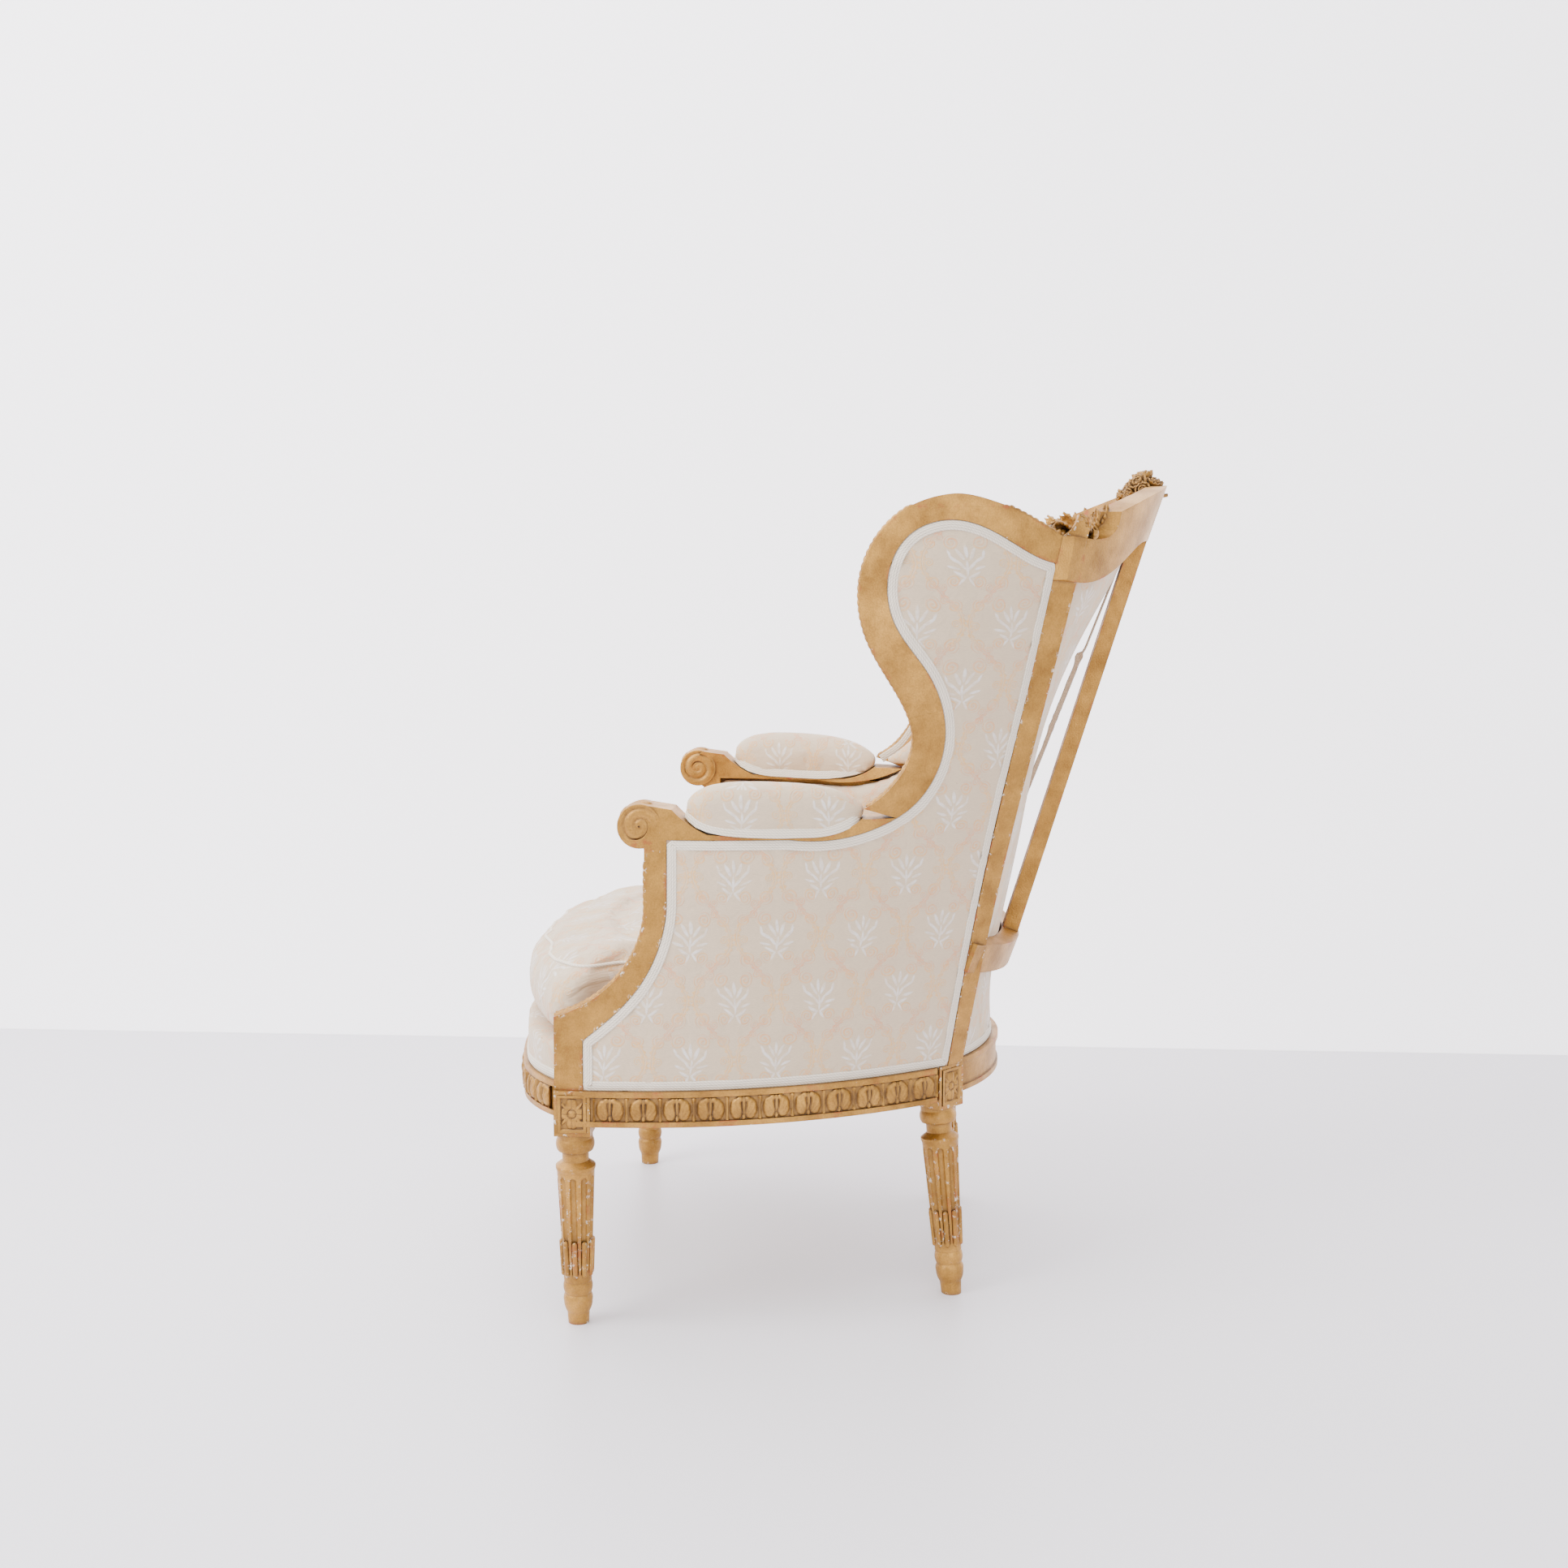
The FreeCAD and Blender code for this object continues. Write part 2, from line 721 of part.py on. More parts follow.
def arched(top_edge):
    """Everything behind the seat and under an arched edge given from the middle outwards."""
    edges = []
    for sign in (1, -1):
        top = front_view(top_edge, sign)
        edges += [spline(top), segment(top[-1], V(top[-1].x, 0, rail_top))]
    edges.append(segment(V(top_edge[-1][0], 0, rail_top), V(-top_edge[-1][0], 0, rail_top)))
    return Part.Face(Part.Wire(Part.__sortEdges__(edges))).extrude(V(0, far, 0))


def crest_elevation(outer, inner):
    shell = Part.makeLoft([crest_plan(outer, inner, crest_low), crest_plan(outer, inner, crest_high)],
                          True, True)
    edges = []
    for sign in (1, -1):
        top = front_view(crest_top_edge, sign)
        notch = front_view(crest_notch, sign)
        low = front_view(crest_low_edge, sign)
        edges += [spline(top), segment(top[-1], notch[0]), spline(notch),
                  segment(notch[-1], low[0]), spline(low)]
    outline = Part.Face(Part.Wire(Part.__sortEdges__(edges))).extrude(V(0, far, 0))
    return shell.common(outline)


def low_rail():
    """Lower back rail: a bowed board that lies square to the rake of the stiles."""
    half = low_rail_end_x + low_rail_joint
    bow = low_rail_bow * (half / low_rail_end_x) ** 2
    radius = (half ** 2 + bow ** 2) / (2 * bow)
    angle = math.asin(half / radius)
    cy = low_rail_bow - radius
    out = [V(radius * math.sin(a), cy + radius * math.cos(a), 0) for a in (angle, 0, -angle)]
    inner = radius - low_rail_depth
    back = [V(inner * math.sin(a), cy + inner * math.cos(a), 0) for a in (-angle, 0, angle)]
    plan = face_of([arc(*out), segment(out[2], back[0]), arc(*back), segment(back[2], out[0])])
    rail = plan.extrude(V(0, 0, -low_rail_height))
    rail.rotate(V(0, 0, 0), V(1, 0, 0), -low_rail_tilt)
    rail.translate(V(0, low_rail_end_y, low_rail_z))
    return rail


def upright():
    slope = (upright_high_y - upright_low_y) / (upright_high_z - upright_low_z)
    low_z = upright_low_z - upright_low_joint
    high_z = upright_high_z + upright_high_joint
    low_y = upright_low_y - slope * upright_low_joint
    high_y = upright_high_y + slope * upright_high_joint
    outline = [V(0, low_y, low_z), V(0, high_y, high_z), V(0, high_y - upright_depth, high_z),
               V(0, low_y - upright_depth, low_z), V(0, low_y, low_z)]
    bar = Part.Face(Part.makePolygon(outline)).extrude(V(upright_width, 0, 0))
    bar.translate(V(-upright_width / 2, 0, 0))
    return bar


def seat_plan(front_inset, side_inset, rear_y, z):
    """Face of the seat seen from above between the front rail, the sides and the back."""
    chain, left_end, right_end = front_chain(front_inset, z)
    cx, cy, radius, start, end = wall_circle(wall_levels[0])
    radius -= side_inset
    begin = math.asin((front_block_y + front_block_width / 2 - cy) / radius)
    finish = math.asin((rear_y - cy) / radius)
    middle = (begin + finish) / 2
    side = [polar(cx, cy, radius, a, z) for a in (begin, middle, finish)]
    other = [V(-p.x, p.y, p.z) for p in side]
    edges = chain + [segment(right_end, side[0]), arc(*side), segment(side[2], other[2]),
                     arc(other[2], other[1], other[0]), segment(other[0], left_end)]
    return Part.Face(Part.Wire(Part.__sortEdges__(edges)))


def corner_block(points, blockers):
    outline = [V(x, y, rail_bottom - corner_block_drop) for x, y in points]
    outline.append(outline[0])
    block = Part.Face(Part.makePolygon(outline)).extrude(V(0, 0, rail_height))
    return block.cut(blockers)


def arc_through(start, control, end):
    """Arc that leaves start towards control and reaches end from control."""
    middle = (start + end) * 0.5
    half = (end - start).Length / 2
    rise = control - middle
    bend = math.atan2(rise.Length, half)
    point = middle + rise * (half * math.tan(bend / 2) / rise.Length)
    return arc(start, point, end)


def biarc(p0, t0, p1, t1):
    """Two arcs that join p0 to p1 along the directions t0 and t1."""
    v = p1 - p0
    t = t0 + t1
    spread = 1 - t0.dot(t1)
    reach = (-v.dot(t) + math.sqrt(v.dot(t) ** 2 + 2 * spread * v.dot(v))) / (2 * spread)
    q0 = p0 + t0 * reach
    q1 = p1 - t1 * reach
    joint = (q0 + q1) * 0.5
    return [arc_through(p0, q0, joint), arc_through(joint, q1, p1)]


def spring(low, high):
    """Coil spring with a narrow waist, one unbroken wire from end to end."""
    height = high - low - 2 * spring_wire_radius
    steps = spring_half_turns * 2

    def place(part):
        turn = math.pi * spring_half_turns * part
        waist = (2 * part - 1) ** 2
        radius = spring_waist_radius + (spring_end_radius - spring_waist_radius) * waist
        z = low + spring_wire_radius + height * part
        return V(radius * math.cos(turn), radius * math.sin(turn), z)

    def heading(part):
        step = 0.0005
        way = place(min(part + step, 1)) - place(max(part - step, 0))
        way.normalize()
        return way

    edges = []
    for index in range(steps):
        a = index / steps
        b = (index + 1) / steps
        edges += biarc(place(a), heading(a), place(b), heading(b))
    path = Part.Wire(edges)
    circle = Part.Wire(Part.makeCircle(spring_wire_radius, place(0), heading(0)))
    return path.makePipeShell([circle], True, False)


def arm_pad(rest):
    """Crowned pad on the arm: flat below, rounded over, drawn in at both ends."""
    sections = []
    for y, half, low, high in arm_pad_stations:
        centre = wall_x(y, low) - arm_width / 2
        shoulder = low + (high - low) * 0.5
        a, b = V(centre - half, y, low), V(centre + half, y, low)
        c, d = V(centre + half, y, shoulder), V(centre - half, y, shoulder)
        sections.append(Part.Wire([segment(a, b), segment(b, c), arc(c, V(centre, y, high), d),
                                   segment(d, a)]))
    return Part.makeLoft(sections, True, False).cut(rest)


def cushion():
    """Loose cushion: crowned, drawn in at its upper and lower seams, with ears before the posts."""
    base = deck_top + cushion_gap
    sections = [cushion_plan(inset, base + rise) for rise, inset in cushion_layers]
    return Part.makeLoft(sections, True, False)


def cushion_plan(inset, z):
    """Cushion seen from above: bowed front, ears, arched sides and a straight back."""
    corner = cushion_ear_x - inset * 0.8
    front_y = -cushion_front + inset
    ear_front = front_end_y - 6 + inset * 0.9
    ear_back = max(cushion_ear_y, ear_front + 30)
    side_front = cushion_neck_x - inset * 0.8
    back_y = cushion_back_y - inset
    side_middle_y = (ear_back + back_y) / 2
    cx, cy, radius, start, end = wall_circle(wall_levels[0])
    inner = radius - arm_width - cushion_side_gap - inset * 0.8
    side_back = cx + math.sqrt(inner ** 2 - (back_y - cy) ** 2)
    side_middle = cx + math.sqrt(inner ** 2 - (side_middle_y - cy) ** 2)

    def at(x, y):
        return V(x, y, z)

    shoulder_x = corner * 0.93
    shoulder_y = ear_front - 14
    edges = [arc(at(-shoulder_x, shoulder_y), at(0, front_y), at(shoulder_x, shoulder_y))]
    right = [arc(at(shoulder_x, shoulder_y), at(corner - 2, ear_front + 2),
                 at(corner, (ear_front + ear_back) / 2)),
             segment(at(corner, (ear_front + ear_back) / 2), at(side_front, ear_back + 12)),
             arc(at(side_front, ear_back + 12), at(side_middle, side_middle_y), at(side_back, back_y))]
    left = [arc(at(-side_back, back_y), at(-side_middle, side_middle_y), at(-side_front, ear_back + 12)),
            segment(at(-side_front, ear_back + 12), at(-corner, (ear_front + ear_back) / 2)),
            arc(at(-corner, (ear_front + ear_back) / 2), at(-corner + 2, ear_front + 2),
                at(-shoulder_x, shoulder_y))]
    edges += right + [segment(at(side_back, back_y), at(-side_back, back_y))] + left
    return Part.Wire(edges)


def bouquet(rest):
    """Carved bunch of flowers on the middle of the crest."""
    balls = [Part.makeSphere(radius, V(x, y, z)) for x, y, z, radius in blooms]
    return balls[0].fuse(balls[1:]).cut(rest)


def build():
    """Return every piece by name, in the chair's own frame."""
    pieces = {}

    def pair(name, shape):
        pieces[name + "_left"] = shape
        pieces[name + "_right"] = mirrored(shape)

    # Legs, blocks and stiles
    leg = turned_leg()
    front_leg = standing_leg(leg, front_block_x, front_block_y, front_foot_lean, 180).fuse(
        front_block(front_panel_turns))
    block = rear_block(rear_panel_turns)
    rear_leg = standing_leg(leg, rear_leg_x, rear_leg_y, rear_foot_lean, rear_lean_turn).fuse(block)
    back_post = stile()
    rear_post = rear_leg.fuse(back_post)
    pair("front_leg", front_leg)
    pair("rear_leg_and_stile", rear_post)
    blocks = [front_block(), block, mirrored(front_block()), mirrored(block)]
    posts = [back_post, mirrored(back_post)]

    # Seat rails
    side_rail = moulded(side_rail_face)
    side_box = side_prism(side_path((front_block_y, 0), [(rear_leg_y, 0), (rear_leg_y, far),
                                                         (front_block_y, far), (front_block_y, 0)]))
    side_rail = side_rail.common(side_box).cut(blocks)
    pair("side_seat_rail", side_rail)
    front_rail = moulded(front_rail_face).cut(blocks)
    rear_rail = moulded(rear_rail_face).cut(blocks)
    pieces["front_seat_rail"] = front_rail
    pieces["rear_seat_rail"] = rear_rail
    rails = [side_rail, mirrored(side_rail), front_rail, rear_rail]
    blocks_inside = []
    for points in (front_corner_block, rear_corner_block):
        piece = corner_block(points, blocks + rails)
        blocks_inside += [piece, mirrored(piece)]
    pieces["corner_blocks"] = Part.makeCompound(blocks_inside)

    # Arms and wings
    support = wall(0, support_thickness).common(side_prism(support_outline()))
    pair("arm_support", support)
    arm = armrest().cut(back_post)
    pair("armrest", arm)
    band = on_side(0, frame_thickness, wing_band()).cut(back_post)
    seam = below(wing_seam_front, wing_seam_back)
    lower = band.common(seam)
    pair("wing_frame", band.cut(seam))
    pair("wing_foot", lower)

    # Side covers and pads
    opening = side_prism(side_panel_outline(rail_top))
    panel = on_side(panel_sink, panel_sink + panel_thickness, opening).cut(back_post)
    pair("outer_side_cover", panel)
    tack_low = side_prism(side_path((post_back, rail_top + tacking_gap), [
        (far, rail_top + tacking_gap), (far, rail_top + tacking_gap + tacking_height),
        (post_back, rail_top + tacking_gap + tacking_height), (post_back, rail_top + tacking_gap)]))
    tack_depth = rebate_sink + tacking_thickness
    tack_rail = on_side(rebate_sink, tack_depth, tack_low).cut(back_post).cut(support)
    pair("tacking_rail", tack_rail)
    back = wing_inner[0][0] + stile_depth / 2
    arm_inner = side_prism(side_path((back, rail_top), [
        (back, arm_joint_z), wing_inner[-1]] + under_arm(rail_top) + [(back, rail_top)]))
    inner_arm = on_side(frame_thickness, pad_face, arm_inner).cut(back_post).cut(support)
    pair("inner_arm_pad", inner_arm)
    wing_edge = blended(0.4, len(wing_outer))
    wing_tail = (back, wing_edge[0][1] - wing_tail_drop)
    wing_inner_outline = side_prism(side_path(wing_tail, [
        wing_edge[0], wing_edge[1:], (wing_edge[-1][0], arm_joint_z), (back, arm_joint_z), wing_tail]))
    inner_wing = on_side(frame_thickness, pad_face, wing_inner_outline).cut(back_post)
    pair("inner_wing_pad", inner_wing)
    pair("arm_pad", arm_pad([arm, lower]))

    # Crest, lower back rail and upright
    other_post = mirrored(back_post)
    side_pieces = [back_post, band, panel, inner_arm]
    side_pieces += [mirrored(piece) for piece in side_pieces]
    crest = without_offcuts(crest_elevation(0, crest_thickness).cut(side_pieces))
    pieces["crest_rail"] = crest
    bar = without_offcuts(low_rail().cut(side_pieces))
    pieces["lower_back_rail"] = bar
    bar_behind = upright().cut(crest).cut(bar)
    pieces["back_upright"] = bar_behind
    pieces["crest_bouquet"] = bouquet(crest)

    # Back upholstery
    low_edge = crest_low_edge[::-1]
    low_edge[-1] = (low_edge[-1][0], crest_low_edge[0][1])
    strap_room = back_cover_thickness + back_strap_thickness
    inside = wall(-wall_margin, pad_face)
    pad = back_slab(back_front_levels, back_outer_levels, 0, -strap_room - back_strap_gap)
    pad = pad.common(arched(back_pad_top_edge)).cut(inside).cut(mirrored(inside))
    straps = back_slab(back_outer_levels, back_outer_levels, -strap_room, -back_cover_thickness)
    bands = [Part.makeBox(2 * far, far, strap_width, V(-far, 0, z)) for z in back_strap_heights]
    straps = straps.common(Part.makeCompound(bands)).cut(back_post).cut(other_post)
    pieces["back_webbing"] = straps
    pieces["inner_back_pad"] = pad.cut(crest).cut(bar).cut(back_post).cut(other_post)
    cover = back_slab(back_outer_levels, back_outer_levels, -back_cover_thickness, 0)
    cover = cover.common(arched(low_edge)).cut([crest, bar, back_post, other_post, bar_behind])
    split = Part.makeBox(2 * far, far, low_rail_z - low_rail_height / 2, V(-far, 0, 0))
    pieces["outer_back_cover"] = cover.cut(split)
    pieces["lower_back_cover"] = cover.common(split)

    # Seat: webbing, springs, hessian, stuffing and cover
    deck_side = pad_face + deck_side_gap
    rear = back_front_levels[0][2]
    hessian_top = deck_top - cover_thickness - stuffing_depth

    def layer(shrink, low, high):
        face = seat_plan(deck_inset + shrink, deck_side + shrink, rear - shrink, low)
        return face.extrude(V(0, 0, high - low))

    filling = layer(cover_thickness, rail_top, deck_top - cover_thickness)
    pieces["seat_cover"] = layer(0, rail_top, deck_top).cut(filling)
    pieces["seat_stuffing"] = filling.cut(layer(edge_roll_width, rail_top, hessian_top))
    pieces["spring_hessian"] = layer(edge_roll_width, hessian_top - hessian_thickness, hessian_top)
    inner_blocks = Part.makeCompound(blocks_inside)
    webbing_face = seat_plan(rail_thickness / 2, rail_thickness / 2, rear_end_y, rail_bottom)
    webbing_room = webbing_face.extrude(V(0, 0, -2 * strap_thickness)).cut(inner_blocks)
    straps = []
    for index in range(strap_count):
        offset = (index - (strap_count - 1) / 2) * strap_pitch - strap_width / 2
        straps.append(Part.makeBox(strap_width, 2 * far, strap_thickness,
                                   V(offset, -far, rail_bottom - strap_thickness)))
        straps.append(Part.makeBox(2 * far, strap_width, strap_thickness,
                                   V(-far, strap_centre_y + offset, rail_bottom - 2 * strap_thickness)))
    pieces["seat_webbing"] = Part.makeCompound([strap.common(webbing_room) for strap in straps])
    coil = spring(rail_bottom, hessian_top - hessian_thickness)
    coils = []
    for column in range(spring_rows):
        for row in range(spring_rows):
            copy = coil.copy()
            copy.translate(V((column - (spring_rows - 1) / 2) * spring_pitch,
                             strap_centre_y + (row - (spring_rows - 1) / 2) * spring_pitch, 0))
            coils.append(copy)
    pieces["seat_springs"] = Part.makeCompound(coils)
    pieces["seat_cushion"] = cushion()
    return pieces


def main():
    os.makedirs("parts", exist_ok=True)
    origin = V(0, (cushion_front - crest_apex_y) / 2, 0)
    for name, shape in build().items():
        shape.translate(origin)
        shape.exportStep("parts/" + name + ".step")
        print(name, len(shape.Solids), shape.isValid(), round(shape.Volume / 1000, 1))


main()
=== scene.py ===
import math

import bmesh
import bpy
import numpy as np
from bpy.props import FloatProperty, FloatVectorProperty, PointerProperty
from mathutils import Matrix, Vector, noise
from mathutils.bvhtree import BVHTree
from mathutils.kdtree import KDTree


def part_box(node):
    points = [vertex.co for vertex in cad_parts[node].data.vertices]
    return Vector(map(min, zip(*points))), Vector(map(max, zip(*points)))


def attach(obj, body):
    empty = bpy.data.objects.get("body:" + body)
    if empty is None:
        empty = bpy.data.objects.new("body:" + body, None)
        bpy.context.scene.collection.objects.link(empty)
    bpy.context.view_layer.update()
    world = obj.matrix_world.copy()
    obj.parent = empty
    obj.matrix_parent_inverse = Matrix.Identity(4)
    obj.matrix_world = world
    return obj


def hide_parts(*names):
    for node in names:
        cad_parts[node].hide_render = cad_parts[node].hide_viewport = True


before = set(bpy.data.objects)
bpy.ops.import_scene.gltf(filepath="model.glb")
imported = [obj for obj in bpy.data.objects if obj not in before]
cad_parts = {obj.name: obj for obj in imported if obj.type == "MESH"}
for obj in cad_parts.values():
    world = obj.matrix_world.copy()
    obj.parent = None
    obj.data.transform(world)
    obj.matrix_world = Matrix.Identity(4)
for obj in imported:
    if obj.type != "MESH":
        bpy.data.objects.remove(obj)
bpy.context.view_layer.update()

bl_info = {
    "name": "Bergere Chair",
    "version": (1, 0, 0),
    "blender": (4, 5, 0),
    "location": "View3D > Sidebar > Bergere",
    "description": "Dresses a winged bergere chair with gilding, carving, damask and gimp",
    "category": "Object",
}

# Distances are in metres in the chair's frame: +Z up, the sitter faces -Y, +X is the sitter's left.
SIDES = {"left": 1, "right": -1}
UP = Vector((0, 0, 1))

GILDED = ("front_leg", "rear_leg_and_stile", "side_seat_rail", "front_seat_rail", "rear_seat_rail",
          "arm_support", "armrest", "wing_frame", "wing_foot", "crest_rail", "lower_back_rail",
          "back_upright")
WORN = ("front_leg", "rear_leg_and_stile", "arm_support")

# Plan arc of the side wall at the seat rail, on which the side cloth is measured
SIDE_ARC = Vector((-0.2725, -0.2603))
SIDE_RADIUS = 0.6188

# Front edge of the wing seen from the side, as y and z, from the stile over the top down to the arm
WING_EDGE = [(0.262, 0.942), (0.235, 0.955), (0.2045, 0.971), (0.1405, 0.985), (0.0755, 0.960),
             (0.0355, 0.894), (0.0405, 0.824), (0.0785, 0.754), (0.0965, 0.699), (0.0755, 0.650),
             (0.0395, 0.621)]
# Front edge of the arm support, from the scroll down to the seat
POST_EDGE = [(-0.2135, 0.560), (-0.2135, 0.515), (-0.2195, 0.471), (-0.2435, 0.428),
             (-0.2855, 0.393), (-0.3205, 0.378)]
SCROLL = Vector((-0.2195, 0.602))
SCROLL_RADIUS = 0.0254

# A cover's face belongs to its outside where its normal has this share outward
OUTWARD = 0.45
CURVE_STEPS = 24
CLOTH_FRAMES = 20
PLAIT_SCALE = 0.314

# Camera fitted to the photograph: place, turn and tilt in degrees, lens and sensor in millimetres
CAMERA_PLACE = (2.6773, 0.1134, 0.9351)
CAMERA_TURN, CAMERA_TILT = 4.012, 6.833
CAMERA_LENS, CAMERA_SENSOR = 47.34, 36.0
# Area lights: name, place, target, width and share of the key light's power
LAMPS = (("key", (1.6, -2.6, 2.6), (0, 0, 0.5), 2.4, 1.0),
         ("fill", (3.2, 1.6, 1.6), (0, 0, 0.5), 2.4, 0.32),
         ("wall_wash", (0.3, -0.6, 3.4), (-1.0, 0.0, 0.6), 2.6, 0.5))
STAGE_HALF, WALL_HEIGHT = 8.0, 6
AIR_COLOUR = (1.0, 0.985, 0.965, 1.0)


def linear(colour):
    """sRGB hex to linear red, green and blue."""
    parts = [int(colour[i:i + 2], 16) / 255 for i in (1, 3, 5)]
    return tuple(p / 12.92 if p <= 0.04045 else ((p + 0.055) / 1.055) ** 2.4 for p in parts)


def colour_property(name, description, default):
    return FloatVectorProperty(name=name, description=description, subtype="COLOR", size=3,
                               min=0.0, max=1.0, default=linear(default))


def length_property(name, description, default):
    return FloatProperty(name=name, description=description, default=default, unit="LENGTH", precision=4)


class BERGERE_PG_gilding(bpy.types.PropertyGroup):
    """Colours and sizes of the gilded frame and its carving."""

    leaf: colour_property("Leaf", "Gold leaf where it is whole", "#BC8B3E")
    deep: colour_property("Deep leaf", "Gold leaf where it is darker", "#94692A")
    # Painted shade: the brown that the gilding is darkened to in its hollows
    hollow_shade: colour_property("Hollow shade", "Old dirt in the hollows", "#4A3014")
    bole: colour_property("Bole", "Red clay under the leaf", "#A1502F")
    gesso: colour_property("Gesso", "White ground where the leaf has chipped", "#E6DCCB")
    motif_pitch: length_property("Motif pitch", "Length of one leaf and dart on the rails", 0.0385)
    bead_pitch: length_property("Bead pitch", "Length of one turn of the rope moulding", 0.0085)
    bead_width: length_property("Bead width", "Width of the rope moulding", 0.008)


class BERGERE_PG_cloth(bpy.types.PropertyGroup):
    """Colours and sizes of the damask and its trimming."""

    ground: colour_property("Ground", "Ground of the damask", "#CDB79C")
    scroll: colour_property("Scroll", "Woven scrolls", "#DDB077")
    blush: colour_property("Blush", "Pink of the scroll knots", "#D79C78")
    sprig: colour_property("Sprig", "Woven sprigs", "#E0D8D2")
    cord: colour_property("Cord", "Gimp and piping", "#E8DCCB")
    repeat_width: length_property("Repeat width", "Width of the damask's repeat", 0.101)
    repeat_height: length_property("Repeat height", "Height of the damask's repeat", 0.145)
    gimp_width: length_property("Gimp width", "Width of the braid round the cloth", 0.0115)
    gimp_height: length_property("Gimp height", "Thickness of the braid", 0.0018)
    cell: length_property("Cell", "Mesh cell of the stretched cloth", 0.007)
    wadding: length_property("Wadding", "How far the stretched cloth stands proud", 0.0035)


class BERGERE_PG_stage(bpy.types.PropertyGroup):
    """Floor, wall, light and camera."""

    floor: colour_property("Floor", "Painted floor", "#DAD7DD")
    wall: colour_property("Wall", "Paper behind the chair", "#F3F1F5")
    wall_place: length_property("Wall place", "Place of the wall along X", -1.076)
    key_power: FloatProperty(name="Key power", description="Power of the large soft light", default=185.0,
                             unit="POWER")
    air: FloatProperty(name="Air", description="Strength of the light from all round", default=1.05)


def placed(name, data):
    """An object for the data, linked to the scene."""
    thing = bpy.data.objects.new(name, data)
    bpy.context.scene.collection.objects.link(thing)
    return thing


def new_object(name, verts, faces):
    mesh = bpy.data.meshes.new(name)
    mesh.from_pydata([tuple(v) for v in verts], [], faces)
    mesh.validate()
    return placed(name, mesh)


def settle(piece, material, body="chair", replaces=(), smooth=True):
    """Gives a piece its material, its shading and its body, and hides the CAD nodes that it stands for."""
    mesh = piece.data
    mesh.materials.clear()
    mesh.materials.append(material)
    mesh.polygons.foreach_set("use_smooth", [smooth] * len(mesh.polygons))
    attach(piece, body)
    if replaces:
        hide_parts(*replaces)
    return piece


def tree_of(*names):
    """Search tree over the faces of some CAD nodes."""
    verts, faces = [], []
    for name in names:
        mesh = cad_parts[name].data
        start = len(verts)
        verts += [v.co.copy() for v in mesh.vertices]
        faces += [[start + i for i in p.vertices] for p in mesh.polygons]
    return BVHTree.FromPolygons(verts, faces)


def near_tree(points):
    """Search tree over some points, by their places in the list."""
    points = list(points)
    tree = KDTree(len(points))
    for i, point in enumerate(points):
        tree.insert(point, i)
    tree.balance()
    return tree


def length_of(line):
    return sum((b - a).length for a, b in zip(line, line[1:]))


def softened(line, times):
    """A closed line with each point drawn towards its neighbours."""
    for _ in range(times):
        line = [(line[i - 1] + line[i] * 2 + line[(i + 1) % len(line)]) / 4 for i in range(len(line))]
    return line


def smooth_curve(points, step):
    """Points every step along a curve through the given ones."""
    points = [Vector(p) for p in points]
    ends = [points[0] * 2 - points[1]] + points + [points[-1] * 2 - points[-2]]
    fine = []
    for a, b, c, d in zip(ends, ends[1:], ends[2:], ends[3:]):
        for k in range(CURVE_STEPS):
            t = k / CURVE_STEPS
            fine.append(0.5 * (2 * b + (c - a) * t + (2 * a - 5 * b + 4 * c - d) * t * t
                               + (3 * b - a - 3 * c + d) * t ** 3))
    fine.append(points[-1])
    return even(fine, step)


def even(line, step, closed=False):
    """The same line with its points spaced evenly."""
    line = list(line) + ([line[0]] if closed else [])
    runs = [(b - a).length for a, b in zip(line, line[1:])]
    total = sum(runs)
    count = max(2, round(total / step))
    result, index, walked = [], 0, 0.0
    for k in range(count if closed else count + 1):
        target = total * k / count
        while index < len(runs) - 1 and walked + runs[index] < target:
            walked += runs[index]
            index += 1
        part = (target - walked) / max(runs[index], 1e-9)
        result.append(line[index].lerp(line[index + 1], min(max(part, 0), 1)))
    return result


def tangents(line, closed=False):
    count = len(line)
    found = []
    for i in range(count):
        if closed:
            a, b = line[i - 1], line[(i + 1) % count]
        else:
            a, b = line[max(i - 1, 0)], line[min(i + 1, count - 1)]
        found.append((b - a).normalized())
    return found


def write_uv(mesh, place):
    """UV map named weave; place gives metres along and across the cloth for a loop's vertex."""
    layer = mesh.uv_layers.new(name="weave")
    flat = np.zeros(len(mesh.loops) * 2, np.float32)
    for polygon in mesh.polygons:
        for loop in polygon.loop_indices:
            co = mesh.vertices[mesh.loops[loop].vertex_index].co
            flat[2 * loop:2 * loop + 2] = place(co, polygon)
    layer.data.foreach_set("uv", flat)


def side_cloth(co, polygon):
    """Cloth measured round the side: along the plan arc, and up."""
    turn = math.atan2(co.y - SIDE_ARC.y, abs(co.x) - SIDE_ARC.x)
    return turn * SIDE_RADIUS, co.z


def back_cloth(co, polygon):
    return co.x * 1.08 + 0.0505, co.z * 1.06


